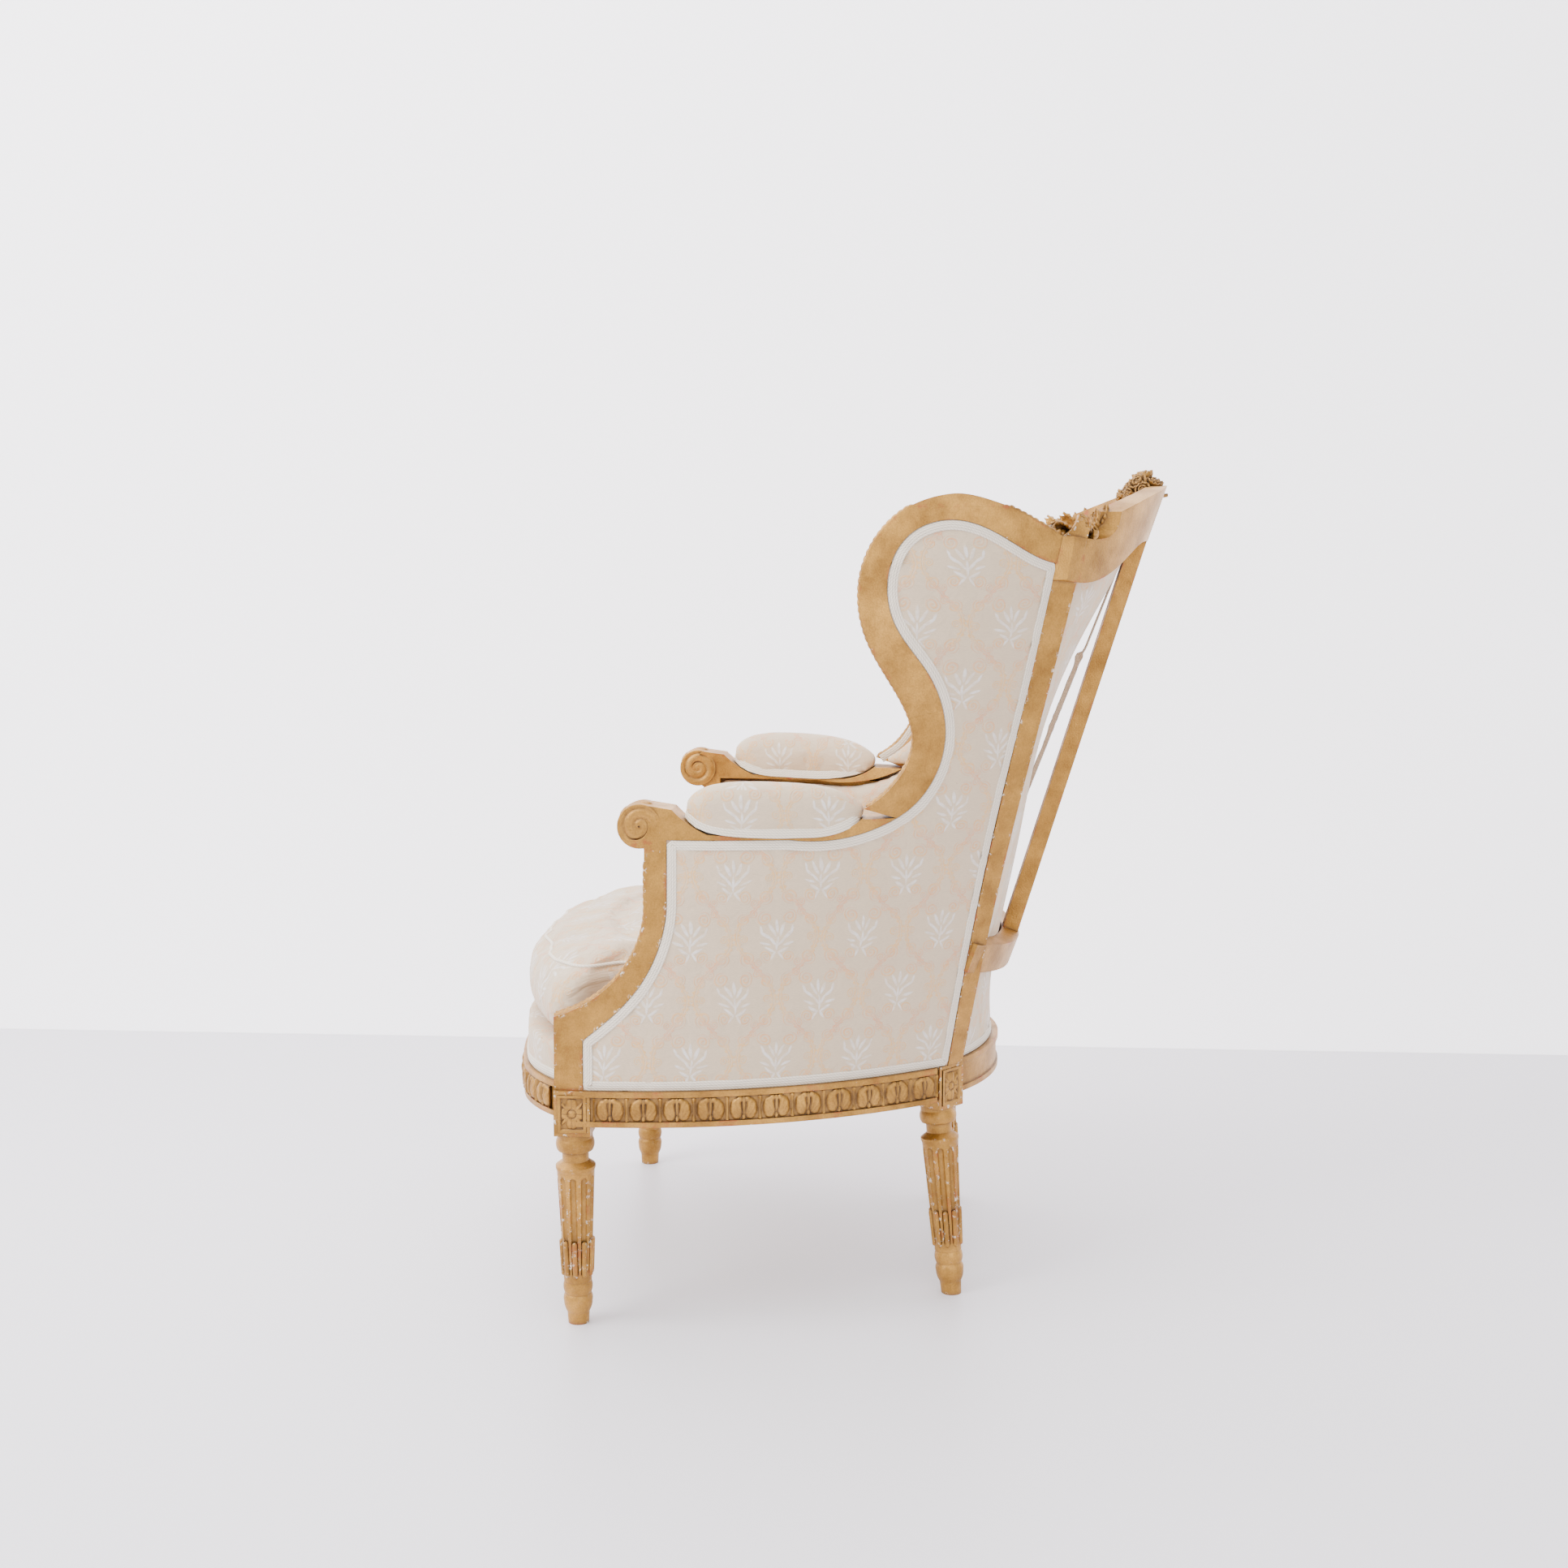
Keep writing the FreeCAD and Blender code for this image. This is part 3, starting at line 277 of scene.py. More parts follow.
def sweep(name, line, outs, section, closed=False):
    """Carries a section of (across, up) pairs along a line; outs point away from the surface."""
    ways = tangents(line, closed)
    verts, faces = [], []
    width = len(section)
    count = len(line)
    along = [0.0]
    for a, b in zip(line, line[1:]):
        along.append(along[-1] + (b - a).length)
    for point, way, out in zip(line, ways, outs):
        side = way.cross(out).normalized()
        up = side.cross(way).normalized()
        verts += [point + side * across + up * high for across, high in section]
    for i in range(count if closed else count - 1):
        j = (i + 1) % count
        for k in range(width - 1):
            faces.append((i * width + k, j * width + k, j * width + k + 1, i * width + k + 1))
    piece = new_object(name, verts, faces)
    layer = piece.data.uv_layers.new(name="weave")
    for polygon in piece.data.polygons:
        first = polygon.vertices[0] // width
        for loop in polygon.loop_indices:
            vertex = piece.data.loops[loop].vertex_index
            row, column = divmod(vertex, width)
            run = along[row] if row >= first else along[-1] + (line[0] - line[-1]).length
            layer.data[loop].uv = (run, section[column][0])
    return piece


def relief(name, line, outs, ups, width, height, step, lift=0.0):
    """A carved strip: height(u, v) arrays in metres over the length in metres and -1 to 1 across."""
    rows = max(6, round(width / step))
    across = np.linspace(-1, 1, rows + 1)
    along = np.concatenate([[0], np.cumsum([(b - a).length for a, b in zip(line, line[1:])])])
    u, v = np.meshgrid(along, across, indexing="ij")
    high = height(u, v) + lift
    spots = np.array(line)[:, None, :] + np.array(ups)[:, None, :] * (across * width / 2)[None, :, None]
    spots = spots + np.array(outs)[:, None, :] * high[:, :, None]
    verts = spots.reshape(-1, 3)
    stride = rows + 1
    faces = []
    for i in range(len(line) - 1):
        for k in range(rows):
            faces.append((i * stride + k, (i + 1) * stride + k, (i + 1) * stride + k + 1, i * stride + k + 1))
    return new_object(name, verts, faces)


def join_pieces(name, pieces):
    """One object from several, with their meshes joined."""
    bm = bmesh.new()
    for piece in pieces:
        bm.from_mesh(piece.data)
        mesh = piece.data
        bpy.data.objects.remove(piece)
        bpy.data.meshes.remove(mesh)
    mesh = bpy.data.meshes.new(name)
    bm.to_mesh(mesh)
    bm.free()
    return placed(name, mesh)


def mirrored_copy(piece, name):
    """The same piece on the sitter's right."""
    bm = bmesh.new()
    bm.from_mesh(piece.data)
    for vert in bm.verts:
        vert.co.x = -vert.co.x
    bmesh.ops.reverse_faces(bm, faces=bm.faces)
    mesh = bpy.data.meshes.new(name)
    bm.to_mesh(mesh)
    bm.free()
    return placed(name, mesh)


# Materials

def wire(tree, kind, inputs=None, out=0, **settings):
    """Adds a shader node with its settings, links or sets its inputs, and returns one of its outputs."""
    made = tree.nodes.new("ShaderNode" + kind)
    for key, value in settings.items():
        setattr(made, key, value)
    for key, value in (inputs or {}).items():
        if isinstance(value, bpy.types.NodeSocket):
            tree.links.new(value, made.inputs[key])
        else:
            made.inputs[key].default_value = value
    return made.outputs[out]


def new_material(name):
    material = bpy.data.materials.new(name)
    material.use_nodes = True
    tree = material.node_tree
    shader = next(n for n in tree.nodes if n.type == "BSDF_PRINCIPLED")
    return material, tree, shader


def gold_leaf(name, settings, wear, chips):
    """Water gilding on gesso over carved beech: a soft metal glow, painted brown shade in the hollows,
    with red bole on rubbed edges and white gesso where the leaf has chipped."""
    material, tree, shader = new_material(name)
    place = wire(tree, "TexCoord", out=3)
    leaf, deep, hollow_shade, bole, gesso = [(*c, 1.0) for c in (settings.leaf, settings.deep, settings.hollow_shade,
                                                          settings.bole, settings.gesso)]
    # Cloudy burnishing, patches of about 40 mm
    cloud = wire(tree, "TexNoise", {"Vector": place, "Scale": 24.0, "Detail": 6.0, "Roughness": 0.62})
    cloud = wire(tree, "MapRange", {0: cloud, 1: 0.36, 2: 0.66})
    colour = wire(tree, "Mix", {0: cloud, 6: deep, 7: leaf}, out=2, data_type="RGBA")
    # Fine speckle of the leaf, drawn at 2 mm so that it shows
    speck = wire(tree, "TexNoise", {"Vector": place, "Scale": 520.0, "Detail": 3.0})
    speck_tone = wire(tree, "MapRange", {0: speck, 1: 0.3, 2: 0.7, 3: 0.84, 4: 1.12})
    colour = wire(tree, "Mix", {0: 1.0, 6: colour, 7: speck_tone}, out=2, data_type="RGBA",
                  blend_type="MULTIPLY")
    # Painted shade: darker brown and less metallic in hollows within about 5 mm, found by ambient occlusion
    open_sky = wire(tree, "AmbientOcclusion", {"Distance": 0.0055}, out=1, samples=6)
    hollow = wire(tree, "MapRange", {0: open_sky, 1: 0.93, 2: 0.3 if wear else 0.45, 4: 0.95})
    colour = wire(tree, "Mix", {0: hollow, 6: colour, 7: hollow_shade}, out=2, data_type="RGBA")
    # Rubbed edges, found from inside the wood; carved strips are open sheets and have none
    thin = wire(tree, "AmbientOcclusion", {"Distance": 0.0045}, out=1, samples=6, inside=True)
    edge = wire(tree, "MapRange", {0: thin, 1: 0.93, 2: 0.62, 4: 1.0 if wear else 0.0})
    patch = wire(tree, "TexNoise", {"Vector": place, "Scale": 38.0, "Detail": 5.0, "Roughness": 0.7})
    patch = wire(tree, "MapRange", {0: patch, 1: 0.62 - wear * 0.2, 2: 0.74 - wear * 0.2})
    rub = wire(tree, "Math", {0: edge, 1: patch}, operation="MULTIPLY")
    rub = wire(tree, "Math", {0: rub, 1: 0.75}, operation="MULTIPLY")
    colour = wire(tree, "Mix", {0: rub, 6: colour, 7: bole}, out=2, data_type="RGBA")
    # Chips of about 4 mm down to the gesso
    chip = wire(tree, "TexNoise", {"Vector": place, "Scale": 150.0, "Detail": 5.0, "Roughness": 0.75})
    chip = wire(tree, "MapRange", {0: chip, 1: 0.70 - chips * 0.16, 2: 0.735 - chips * 0.16})
    bare = wire(tree, "Math", {0: edge, 1: chip}, operation="MULTIPLY")
    colour = wire(tree, "Mix", {0: bare, 6: colour, 7: gesso}, out=2, data_type="RGBA")
    tree.links.new(colour, shader.inputs["Base Color"])
    # Chipped gesso is not metal, and the painted shade in the hollows takes the metal away too
    metal = wire(tree, "Math", {0: 0.62, 1: bare}, operation="SUBTRACT", use_clamp=True)
    metal = wire(tree, "Math", {0: metal, 1: hollow}, operation="SUBTRACT", use_clamp=True)
    tree.links.new(metal, shader.inputs["Metallic"])
    rough = wire(tree, "MapRange", {0: cloud, 3: 0.5, 4: 0.38})
    tree.links.new(rough, shader.inputs["Roughness"])
    round_edge = wire(tree, "Bevel", {"Radius": 0.0012}, samples=4)
    dents = wire(tree, "TexNoise", {"Vector": place, "Scale": 70.0, "Detail": 4.0})
    bumps = wire(tree, "Math", {0: dents, 1: speck}, operation="ADD")
    normal = wire(tree, "Bump", {"Strength": 0.35, "Distance": 0.0012, "Height": bumps,
                                           "Normal": round_edge})
    tree.links.new(normal, shader.inputs["Normal"])
    return material


def plain_wood(name, colour):
    """Bare beech, sawn and darkened with age: a dull brown with fine grain along its length."""
    material, tree, shader = new_material(name)
    place = wire(tree, "TexCoord", out=3)
    long_way = wire(tree, "Mapping", {0: place, 3: (60.0, 60.0, 900.0)})
    grain = wire(tree, "TexNoise", {"Vector": long_way, "Scale": 1.0, "Detail": 4.0})
    tone = wire(tree, "MapRange", {0: grain, 1: 0.3, 2: 0.7, 3: 0.55, 4: 1.2})
    shade = wire(tree, "Mix", {0: 1.0, 6: (*linear(colour), 1.0), 7: tone}, out=2,
                 data_type="RGBA", blend_type="MULTIPLY")
    tree.links.new(shade, shader.inputs["Base Color"])
    shader.inputs["Roughness"].default_value = 0.7
    normal = wire(tree, "Bump", {"Strength": 0.4, "Distance": 0.0005, "Height": grain})
    tree.links.new(normal, shader.inputs["Normal"])
    return material


def coarse_cloth(name, colour, thread):
    """Jute or hair cloth in plain weave, thread in millimetres: a matte brown with a visible grid."""
    material, tree, shader = new_material(name)
    place = wire(tree, "TexCoord", out=3)
    scale = 1000.0 / thread
    warp = wire(tree, "TexWave", {"Vector": place, "Scale": scale / 20, "Distortion": 0.6},
                out=1, bands_direction="X")
    weft = wire(tree, "TexWave", {"Vector": place, "Scale": scale / 20, "Distortion": 0.6},
                out=1, bands_direction="Y")
    weave = wire(tree, "Math", {0: warp, 1: weft}, operation="MAXIMUM")
    tone = wire(tree, "MapRange", {0: weave, 3: 0.6, 4: 1.1})
    shade = wire(tree, "Mix", {0: 1.0, 6: (*linear(colour), 1.0), 7: tone}, out=2,
                 data_type="RGBA", blend_type="MULTIPLY")
    tree.links.new(shade, shader.inputs["Base Color"])
    shader.inputs["Roughness"].default_value = 0.9
    normal = wire(tree, "Bump", {"Strength": 0.6, "Distance": 0.0008, "Height": weave})
    tree.links.new(normal, shader.inputs["Normal"])
    return material


def drawn_wire(name):
    """Drawn steel spring wire, dulled with age: grey metal with patches of rust."""
    material, tree, shader = new_material(name)
    place = wire(tree, "TexCoord", out=3)
    rust = wire(tree, "TexNoise", {"Vector": place, "Scale": 90.0, "Detail": 4.0})
    rust = wire(tree, "MapRange", {0: rust, 1: 0.5, 2: 0.7})
    shade = wire(tree, "Mix", {0: rust, 6: (*linear("#8C8A86"), 1.0), 7: (*linear("#6A4E3A"), 1.0)},
                 out=2, data_type="RGBA")
    tree.links.new(shade, shader.inputs["Base Color"])
    shader.inputs["Metallic"].default_value = 0.9
    shader.inputs["Roughness"].default_value = 0.45
    return material


# Damask strokes, in millimetres in the folded repeat: the sprig is centred at x 0, y 36.
# Curls as centre x, centre y, outer radius, turn (1 or -1)
CURLS = [(36.0, 12.0, 8.6, 1), (14.5, 60.5, 8.6, -1), (38.0, 59.0, 7.6, -1), (12.5, 13.5, 7.6, 1),
         (27.0, 66.0, 5.0, 1), (23.5, 6.5, 5.0, -1), (39.0, 36.0, 5.5, 1)]
# Leaves as centre x, centre y, half length, half width, turn in degrees
LEAVES = [(0.0, 50.0, 8.0, 2.0, 90), (6.0, 46.0, 8.0, 1.9, 62), (12.0, 40.0, 7.5, 1.8, 40),
          (5.0, 33.0, 7.0, 1.6, 55), (13.0, 30.0, 6.5, 1.6, 18), (0.0, 30.0, 9.0, 1.4, 90),
          (7.0, 22.0, 7.0, 1.6, 30), (17.0, 47.0, 4.5, 1.4, 70), (4.0, 15.0, 6.0, 1.4, -60)]


def damask(name, settings, crease):
    """Silk and cotton damask, woven and pressed: cream ground with a slight sheen, an ogee trellis
    of peach scrolls and white sprigs that stand a little proud."""
    material, tree, shader = new_material(name)
    half = settings.repeat_width * 500
    rise = settings.repeat_height * 500
    uv = wire(tree, "UVMap", uv_map="weave")
    mm = wire(tree, "VectorMath", {0: uv, "Scale": 1000.0}, operation="SCALE")
    wander = wire(tree, "TexNoise", {"Vector": mm, "Scale": 0.03, "Detail": 1.0}, out=1)
    wander = wire(tree, "VectorMath", {0: wander, 1: (0.5, 0.5, 0.5)}, operation="SUBTRACT")
    wander = wire(tree, "VectorMath", {0: wander, "Scale": 9.0}, operation="SCALE")
    mm = wire(tree, "VectorMath", {0: mm, 1: wander}, operation="ADD")
    split = wire(tree, "SeparateXYZ", {0: mm})
    rows = wire(tree, "SeparateXYZ", {0: mm}, out=1)
    fold = wire(tree, "Math", {0: split, 1: half}, operation="PINGPONG")
    row = wire(tree, "Math", {0: rows, 1: rise}, operation="DIVIDE")
    row = wire(tree, "Math", {0: row}, operation="FLOOR")
    odd = wire(tree, "Math", {0: row, 1: 2.0}, operation="FLOORED_MODULO")
    swap = wire(tree, "Math", {0: odd, 1: half}, operation="MULTIPLY")
    x = wire(tree, "Math", {0: fold, 1: swap}, operation="SUBTRACT")
    x = wire(tree, "Math", {0: x}, operation="ABSOLUTE")
    y = wire(tree, "Math", {0: rows, 1: rise}, operation="FLOORED_MODULO")
    spot = wire(tree, "CombineXYZ", {0: x, 1: y})

    # Trellis line: x follows a cosine between the narrow necks and the wide bellies
    turn = wire(tree, "Math", {0: y, 1: math.pi / rise, 2: -math.pi / 2}, operation="MULTIPLY_ADD")
    bend = wire(tree, "Math", {0: turn}, operation="COSINE")
    bend = wire(tree, "Math", {0: bend, 1: half * 0.43, 2: half * 0.5}, operation="MULTIPLY_ADD")
    away = wire(tree, "Math", {0: x, 1: bend}, operation="SUBTRACT")
    away = wire(tree, "Math", {0: away}, operation="ABSOLUTE")
    beads = wire(tree, "Math", {0: y, 1: 1.1}, operation="MULTIPLY")
    beads = wire(tree, "Math", {0: beads}, operation="SINE")
    reach = wire(tree, "Math", {0: beads, 1: 1.1, 2: 3.2}, operation="MULTIPLY_ADD")
    trellis = wire(tree, "Math", {0: reach, 1: away}, operation="SUBTRACT")
    trellis = wire(tree, "MapRange", {0: trellis, 1: -0.5, 2: 0.7})
    vein = wire(tree, "MapRange", {0: away, 1: 0.2, 2: 0.8})
    marks = wire(tree, "Math", {0: trellis, 1: vein}, operation="MULTIPLY")
    for cx, cy, radius, way in CURLS:
        arm = wire(tree, "VectorMath", {0: spot, 1: (cx, cy, 0.0)}, operation="SUBTRACT")
        far = wire(tree, "VectorMath", {0: arm}, out=1, operation="LENGTH")
        arm_x = wire(tree, "SeparateXYZ", {0: arm})
        arm_y = wire(tree, "SeparateXYZ", {0: arm}, out=1)
        angle = wire(tree, "Math", {0: arm_y, 1: arm_x}, operation="ARCTAN2")
        wind = wire(tree, "Math", {0: angle, 1: way / math.tau, 2: 0.5}, operation="MULTIPLY_ADD")
        coil = wire(tree, "Math", {0: far, 1: 2.1 / radius, 2: wind}, operation="MULTIPLY_ADD")
        coil = wire(tree, "Math", {0: coil, 1: 0.5}, operation="PINGPONG")
        coil = wire(tree, "MapRange", {0: coil, 1: 0.2, 2: 0.32})
        inside = wire(tree, "MapRange", {0: far, 1: radius + 0.4, 2: radius - 0.4})
        curl = wire(tree, "Math", {0: coil, 1: inside}, operation="MULTIPLY")
        marks = wire(tree, "Math", {0: marks, 1: curl}, operation="MAXIMUM")
    sprigs = wire(tree, "Math", {0: 0.0, 1: 0.0}, operation="ADD")
    for cx, cy, long_half, wide_half, degrees in LEAVES:
        arm = wire(tree, "Mapping", {0: spot, 1: (cx, cy, 0.0),
                                               2: (0.0, 0.0, math.radians(degrees)),
                                               3: (long_half, wide_half, 1.0)}, vector_type="TEXTURE")
        far = wire(tree, "VectorMath", {0: arm}, out=1, operation="LENGTH")
        leaf = wire(tree, "MapRange", {0: far, 1: 1.15, 2: 0.8})
        sprigs = wire(tree, "Math", {0: sprigs, 1: leaf}, operation="MAXIMUM")

    # Threads drawn 1.3 mm apart, coarser than the real ones, so that the weave shows
    threads = wire(tree, "TexNoise", {"Vector": wire(tree, "Mapping", {
        0: mm, 3: (0.25, 1.5, 1.0)}), "Scale": 1.0, "Detail": 2.0})
    worn = wire(tree, "TexNoise", {"Vector": mm, "Scale": 0.12, "Detail": 4.0})
    worn = wire(tree, "MapRange", {0: worn, 1: 0.35, 2: 0.65, 3: 0.35, 4: 1.0})
    knots = wire(tree, "Math", {0: y, 1: rise * 0.5}, operation="SUBTRACT")
    knots = wire(tree, "Math", {0: knots}, operation="ABSOLUTE")
    knots = wire(tree, "MapRange", {0: knots, 1: rise * 0.2, 2: rise * 0.5})
    scroll = wire(tree, "Mix", {0: knots, 6: (*settings.scroll, 1.0), 7: (*settings.blush, 1.0)},
                  out=2, data_type="RGBA")
    strength = wire(tree, "Math", {0: marks, 1: worn}, operation="MULTIPLY")
    colour = wire(tree, "Mix", {0: strength, 6: (*settings.ground, 1.0), 7: scroll}, out=2,
                  data_type="RGBA")
    silver = wire(tree, "Math", {0: sprigs, 1: worn}, operation="MULTIPLY")
    colour = wire(tree, "Mix", {0: silver, 6: colour, 7: (*settings.sprig, 1.0)}, out=2,
                  data_type="RGBA")
    tone = wire(tree, "MapRange", {0: threads, 1: 0.3, 2: 0.7, 3: 0.93, 4: 1.04})
    colour = wire(tree, "Mix", {0: 1.0, 6: colour, 7: tone}, out=2, data_type="RGBA",
                  blend_type="MULTIPLY")
    tree.links.new(colour, shader.inputs["Base Color"])
    shader.inputs["Roughness"].default_value = 0.62
    shader.inputs["Sheen Weight"].default_value = 0.25
    shader.inputs["Sheen Roughness"].default_value = 0.4
    # Woven figure stands 0.3 mm proud; creases are some 25 mm apart
    figure = wire(tree, "Math", {0: marks, 1: sprigs}, operation="MAXIMUM")
    figure = wire(tree, "Math", {0: threads, 1: 0.4, 2: figure}, operation="MULTIPLY_ADD")
    folds = wire(tree, "TexNoise", {"Vector": mm, "Scale": 0.045, "Detail": 3.0, "Distortion": 0.8})
    soft = wire(tree, "Bump", {"Strength": crease, "Distance": 0.006, "Height": folds})
    normal = wire(tree, "Bump", {"Strength": 0.55, "Distance": 0.0005, "Height": figure,
                                           "Normal": soft})
    tree.links.new(normal, shader.inputs["Normal"])
    return material


def braid_cord(name, settings):
    """Cotton gimp, plaited from several cords and sewn on: white, matte, with a fine plait,
    and painted shade in the grooves between the cords.
    """
    material, tree, shader = new_material(name)
    uv = wire(tree, "UVMap", uv_map="weave")
    mm = wire(tree, "VectorMath", {0: uv, "Scale": 1000.0}, operation="SCALE")
    # One stitch every 2.6 mm, slanted
    slant = wire(tree, "Mapping", {0: mm, 2: (0.0, 0.0, 0.9), 3: (0.38, 0.38, 1.0)})
    plait = wire(tree, "TexWave", {"Vector": slant, "Scale": PLAIT_SCALE, "Distortion": 0.8,
                                             "Detail": 1.0}, out=1)
    cords = wire(tree, "SeparateXYZ", {0: mm}, out=1)
    cords = wire(tree, "Math", {0: cords, 1: 1.45}, operation="PINGPONG")
    # Painted shade: the colour is darkened in the grooves between the cords, by the mask that also sinks them
    # in the bump
    groove = wire(tree, "MapRange", {0: cords, 1: 0.0, 2: 0.5, 3: 0.72, 4: 1.0})
    tone = wire(tree, "MapRange", {0: plait, 3: 0.86, 4: 1.03})
    tone = wire(tree, "Math", {0: tone, 1: groove}, operation="MULTIPLY")
    colour = wire(tree, "Mix", {0: 1.0, 6: (*settings.cord, 1.0), 7: tone}, out=2,
                  data_type="RGBA", blend_type="MULTIPLY")
    tree.links.new(colour, shader.inputs["Base Color"])
    shader.inputs["Roughness"].default_value = 0.8
    height = wire(tree, "Math", {0: plait, 1: 0.5, 2: groove}, operation="MULTIPLY_ADD")
    normal = wire(tree, "Bump", {"Strength": 0.7, "Distance": 0.0008, "Height": height})
    tree.links.new(normal, shader.inputs["Normal"])
    return material


# Cloth

def stretched_cloth(name, node, keep, cell, proud, cloth_place, ripple=0.0005, rounds=6):
    """The showing face of a CAD cover, cut into cells, softened and lifted by its wadding."""
    bm = bmesh.new()
    bm.from_mesh(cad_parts[node].data)
    bmesh.ops.remove_doubles(bm, verts=bm.verts, dist=1e-5)
    # Needle faces have no steady normal, so they are dissolved or kept and not judged by it
    bmesh.ops.dissolve_degenerate(bm, dist=2e-5, edges=bm.edges)
    bm.normal_update()
    drop = [f for f in bm.faces if f.calc_area() > 1e-9 and not keep(f)]
    bmesh.ops.delete(bm, geom=drop, context="FACES")
    co = np.array([v.co for v in bm.verts])
    for axis in range(3):
        span = co[:, axis].max() - co[:, axis].min()
        if span < 4 * cell:
            continue
        for k in range(1, math.ceil(span / cell)):
            spot, way = Vector(), Vector()
            spot[axis] = co[:, axis].min() + k * cell
            way[axis] = 1.0
            geom = bm.verts[:] + bm.edges[:] + bm.faces[:]
            bmesh.ops.bisect_plane(bm, geom=geom, dist=1e-6, plane_co=spot, plane_no=way)
    bmesh.ops.remove_doubles(bm, verts=bm.verts, dist=0.0008)
    bmesh.ops.triangulate(bm, faces=[f for f in bm.faces if len(f.verts) > 4])
    bm.verts.ensure_lookup_table()
    rim = [v for v in bm.verts if v.is_boundary]
    inner = [v for v in bm.verts if not v.is_boundary]
    near = near_tree(v.co for v in rim)
    for _ in range(rounds):
        bmesh.ops.smooth_vert(bm, verts=inner, factor=0.5, use_axis_x=True, use_axis_y=True, use_axis_z=True)
    bm.normal_update()
    moves = []
    for v in inner:
        away = near.find(v.co)[2]
        swell = 1 - math.exp(-away / 0.028)
        wave = noise.noise(Vector((v.co.x * 20, v.co.y * 34, v.co.z * 26))) * swell
        pucker = noise.noise(Vector((v.co.x * 90, v.co.y * 90, v.co.z * 90))) * math.exp(-away / 0.02)
        moves.append(v.co + v.normal * (proud * swell + ripple * (wave * 2.2 + pucker * 1.6)))
    for v, move in zip(inner, moves):
        v.co = move
    mesh = bpy.data.meshes.new(name)
    bm.to_mesh(mesh)
    bm.free()
    write_uv(mesh, cloth_place)
    return placed(name, mesh)


def rim_loops(piece):
    """Ordered loops of a cloth's border points with the cloth's normals there."""
    bm = bmesh.new()
    bm.from_mesh(piece.data)
    bm.normal_update()
    links = {}
    for edge in bm.edges:
        if edge.is_boundary:
            a, b = edge.verts
            links.setdefault(a, []).append(b)
            links.setdefault(b, []).append(a)
    loops = []
    seen = set()
    for first in list(links):
        if first in seen:
            continue
        loop, here, last = [], first, None
        while here not in seen:
            seen.add(here)
            loop.append((here.co.copy(), here.normal.copy()))
            following = [v for v in links[here] if v is not last and v not in seen]
            if not following:
                break
            last, here = here, following[0]
        if len(loop) > 8:
            loops.append(loop)
    bm.free()
    return loops


def gimp_section(width, height):
    """Four cords side by side, as (across, up) pairs."""
    section = [(-width / 2, -0.0006)]
    steps = 17
    for k in range(steps):
        part = k / (steps - 1)
        cord = abs(math.sin(part * 4 * math.pi))
        crown = 0.55 + 0.45 * math.sin(part * math.pi)
        section.append(((part - 0.5) * width, height * crown * (0.6 + 0.4 * cord)))
    section.append((width / 2, -0.0006))
    return section


def gimp_along(name, line, outs, settings, closed=False):
    return sweep(name, line, outs, gimp_section(settings.gimp_width, settings.gimp_height), closed)


def inset_line(loop, inset, step):
    """A border line moved into the cloth by inset, spaced evenly, with its outward directions."""
    points = [p for p, n in loop]
    near = near_tree(points)
    line = even(points, step, closed=True)
    outs = [loop[near.find(p)[1]][1] for p in line]
    ways = tangents(line, True)
    middle = sum(points, Vector()) / len(points)
    turn = sum((p - middle).cross(w).dot(o) for p, w, o in zip(line, ways, outs))
    sign = 1 if turn > 0 else -1
    moved = [p + o.cross(w).normalized() * (inset * sign) for p, w, o in zip(line, ways, outs)]
    return softened(moved, 2), outs


def plumped(name, node, voxel, shrink, pressure, cap, rounds=3):
    """A CAD pad remeshed, shrunk a little, blown up as cloth and capped."""
    piece = placed(name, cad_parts[node].data.copy())
    remesh = piece.modifiers.new("Remesh", "REMESH")
    remesh.mode = "VOXEL"
    remesh.voxel_size = voxel
    bake_modifiers(piece)
    bm = bmesh.new()
    bm.from_mesh(piece.data)
    for _ in range(rounds):
        bmesh.ops.smooth_vert(bm, verts=bm.verts, factor=0.5, use_axis_x=True, use_axis_y=True,
                              use_axis_z=True)
    bm.normal_update()
    for v in bm.verts:
        v.co -= v.normal * shrink
    bm.to_mesh(piece.data)
    bm.free()
    if pressure:
        start = np.zeros(len(piece.data.vertices) * 3, np.float32)
        piece.data.vertices.foreach_get("co", start)
        cloth = piece.modifiers.new("Cloth", "CLOTH")
        cloth.settings.quality = 4
        cloth.settings.use_pressure = True
        cloth.settings.uniform_pressure_force = pressure
        cloth.settings.effector_weights.gravity = 0.0
        cloth.point_cache.frame_start = 1
        cloth.point_cache.frame_end = CLOTH_FRAMES
        for number in range(1, CLOTH_FRAMES + 1):
            bpy.context.scene.frame_set(number)
        bake_modifiers(piece)
        bpy.context.scene.frame_set(1)
        end = np.zeros_like(start)
        piece.data.vertices.foreach_get("co", end)
        move = (end - start).reshape(-1, 3)
        size = np.linalg.norm(move, axis=1, keepdims=True)
        move *= np.minimum(1.0, cap / np.maximum(size, 1e-9))
        piece.data.vertices.foreach_set("co", (start.reshape(-1, 3) + move).ravel())
    return piece


def bake_modifiers(piece):
    """Applies what the piece's modifiers make of it."""
    made = bpy.data.meshes.new_from_object(piece.evaluated_get(bpy.context.evaluated_depsgraph_get()))
    old = piece.data
    piece.modifiers.clear()
    piece.data = made
    bpy.data.meshes.remove(old)


def thicken(piece, thickness):
    piece.modifiers.new("Thickness", "SOLIDIFY").thickness = thickness
    bake_modifiers(piece)


def subdivide(piece):
    divide = piece.modifiers.new("Subdivision", "SUBSURF")
    divide.levels = 1
    divide.render_levels = 1
    bake_modifiers(piece)


# Carving

def lobe(u, v, cu, cv, ru, rv):
    """A domed oval: 1 at its middle, 0 at its edge."""
    far = ((u - cu) / ru) ** 2 + ((v - cv) / rv) ** 2
    return np.sqrt(np.clip(1 - far, 0, 1))


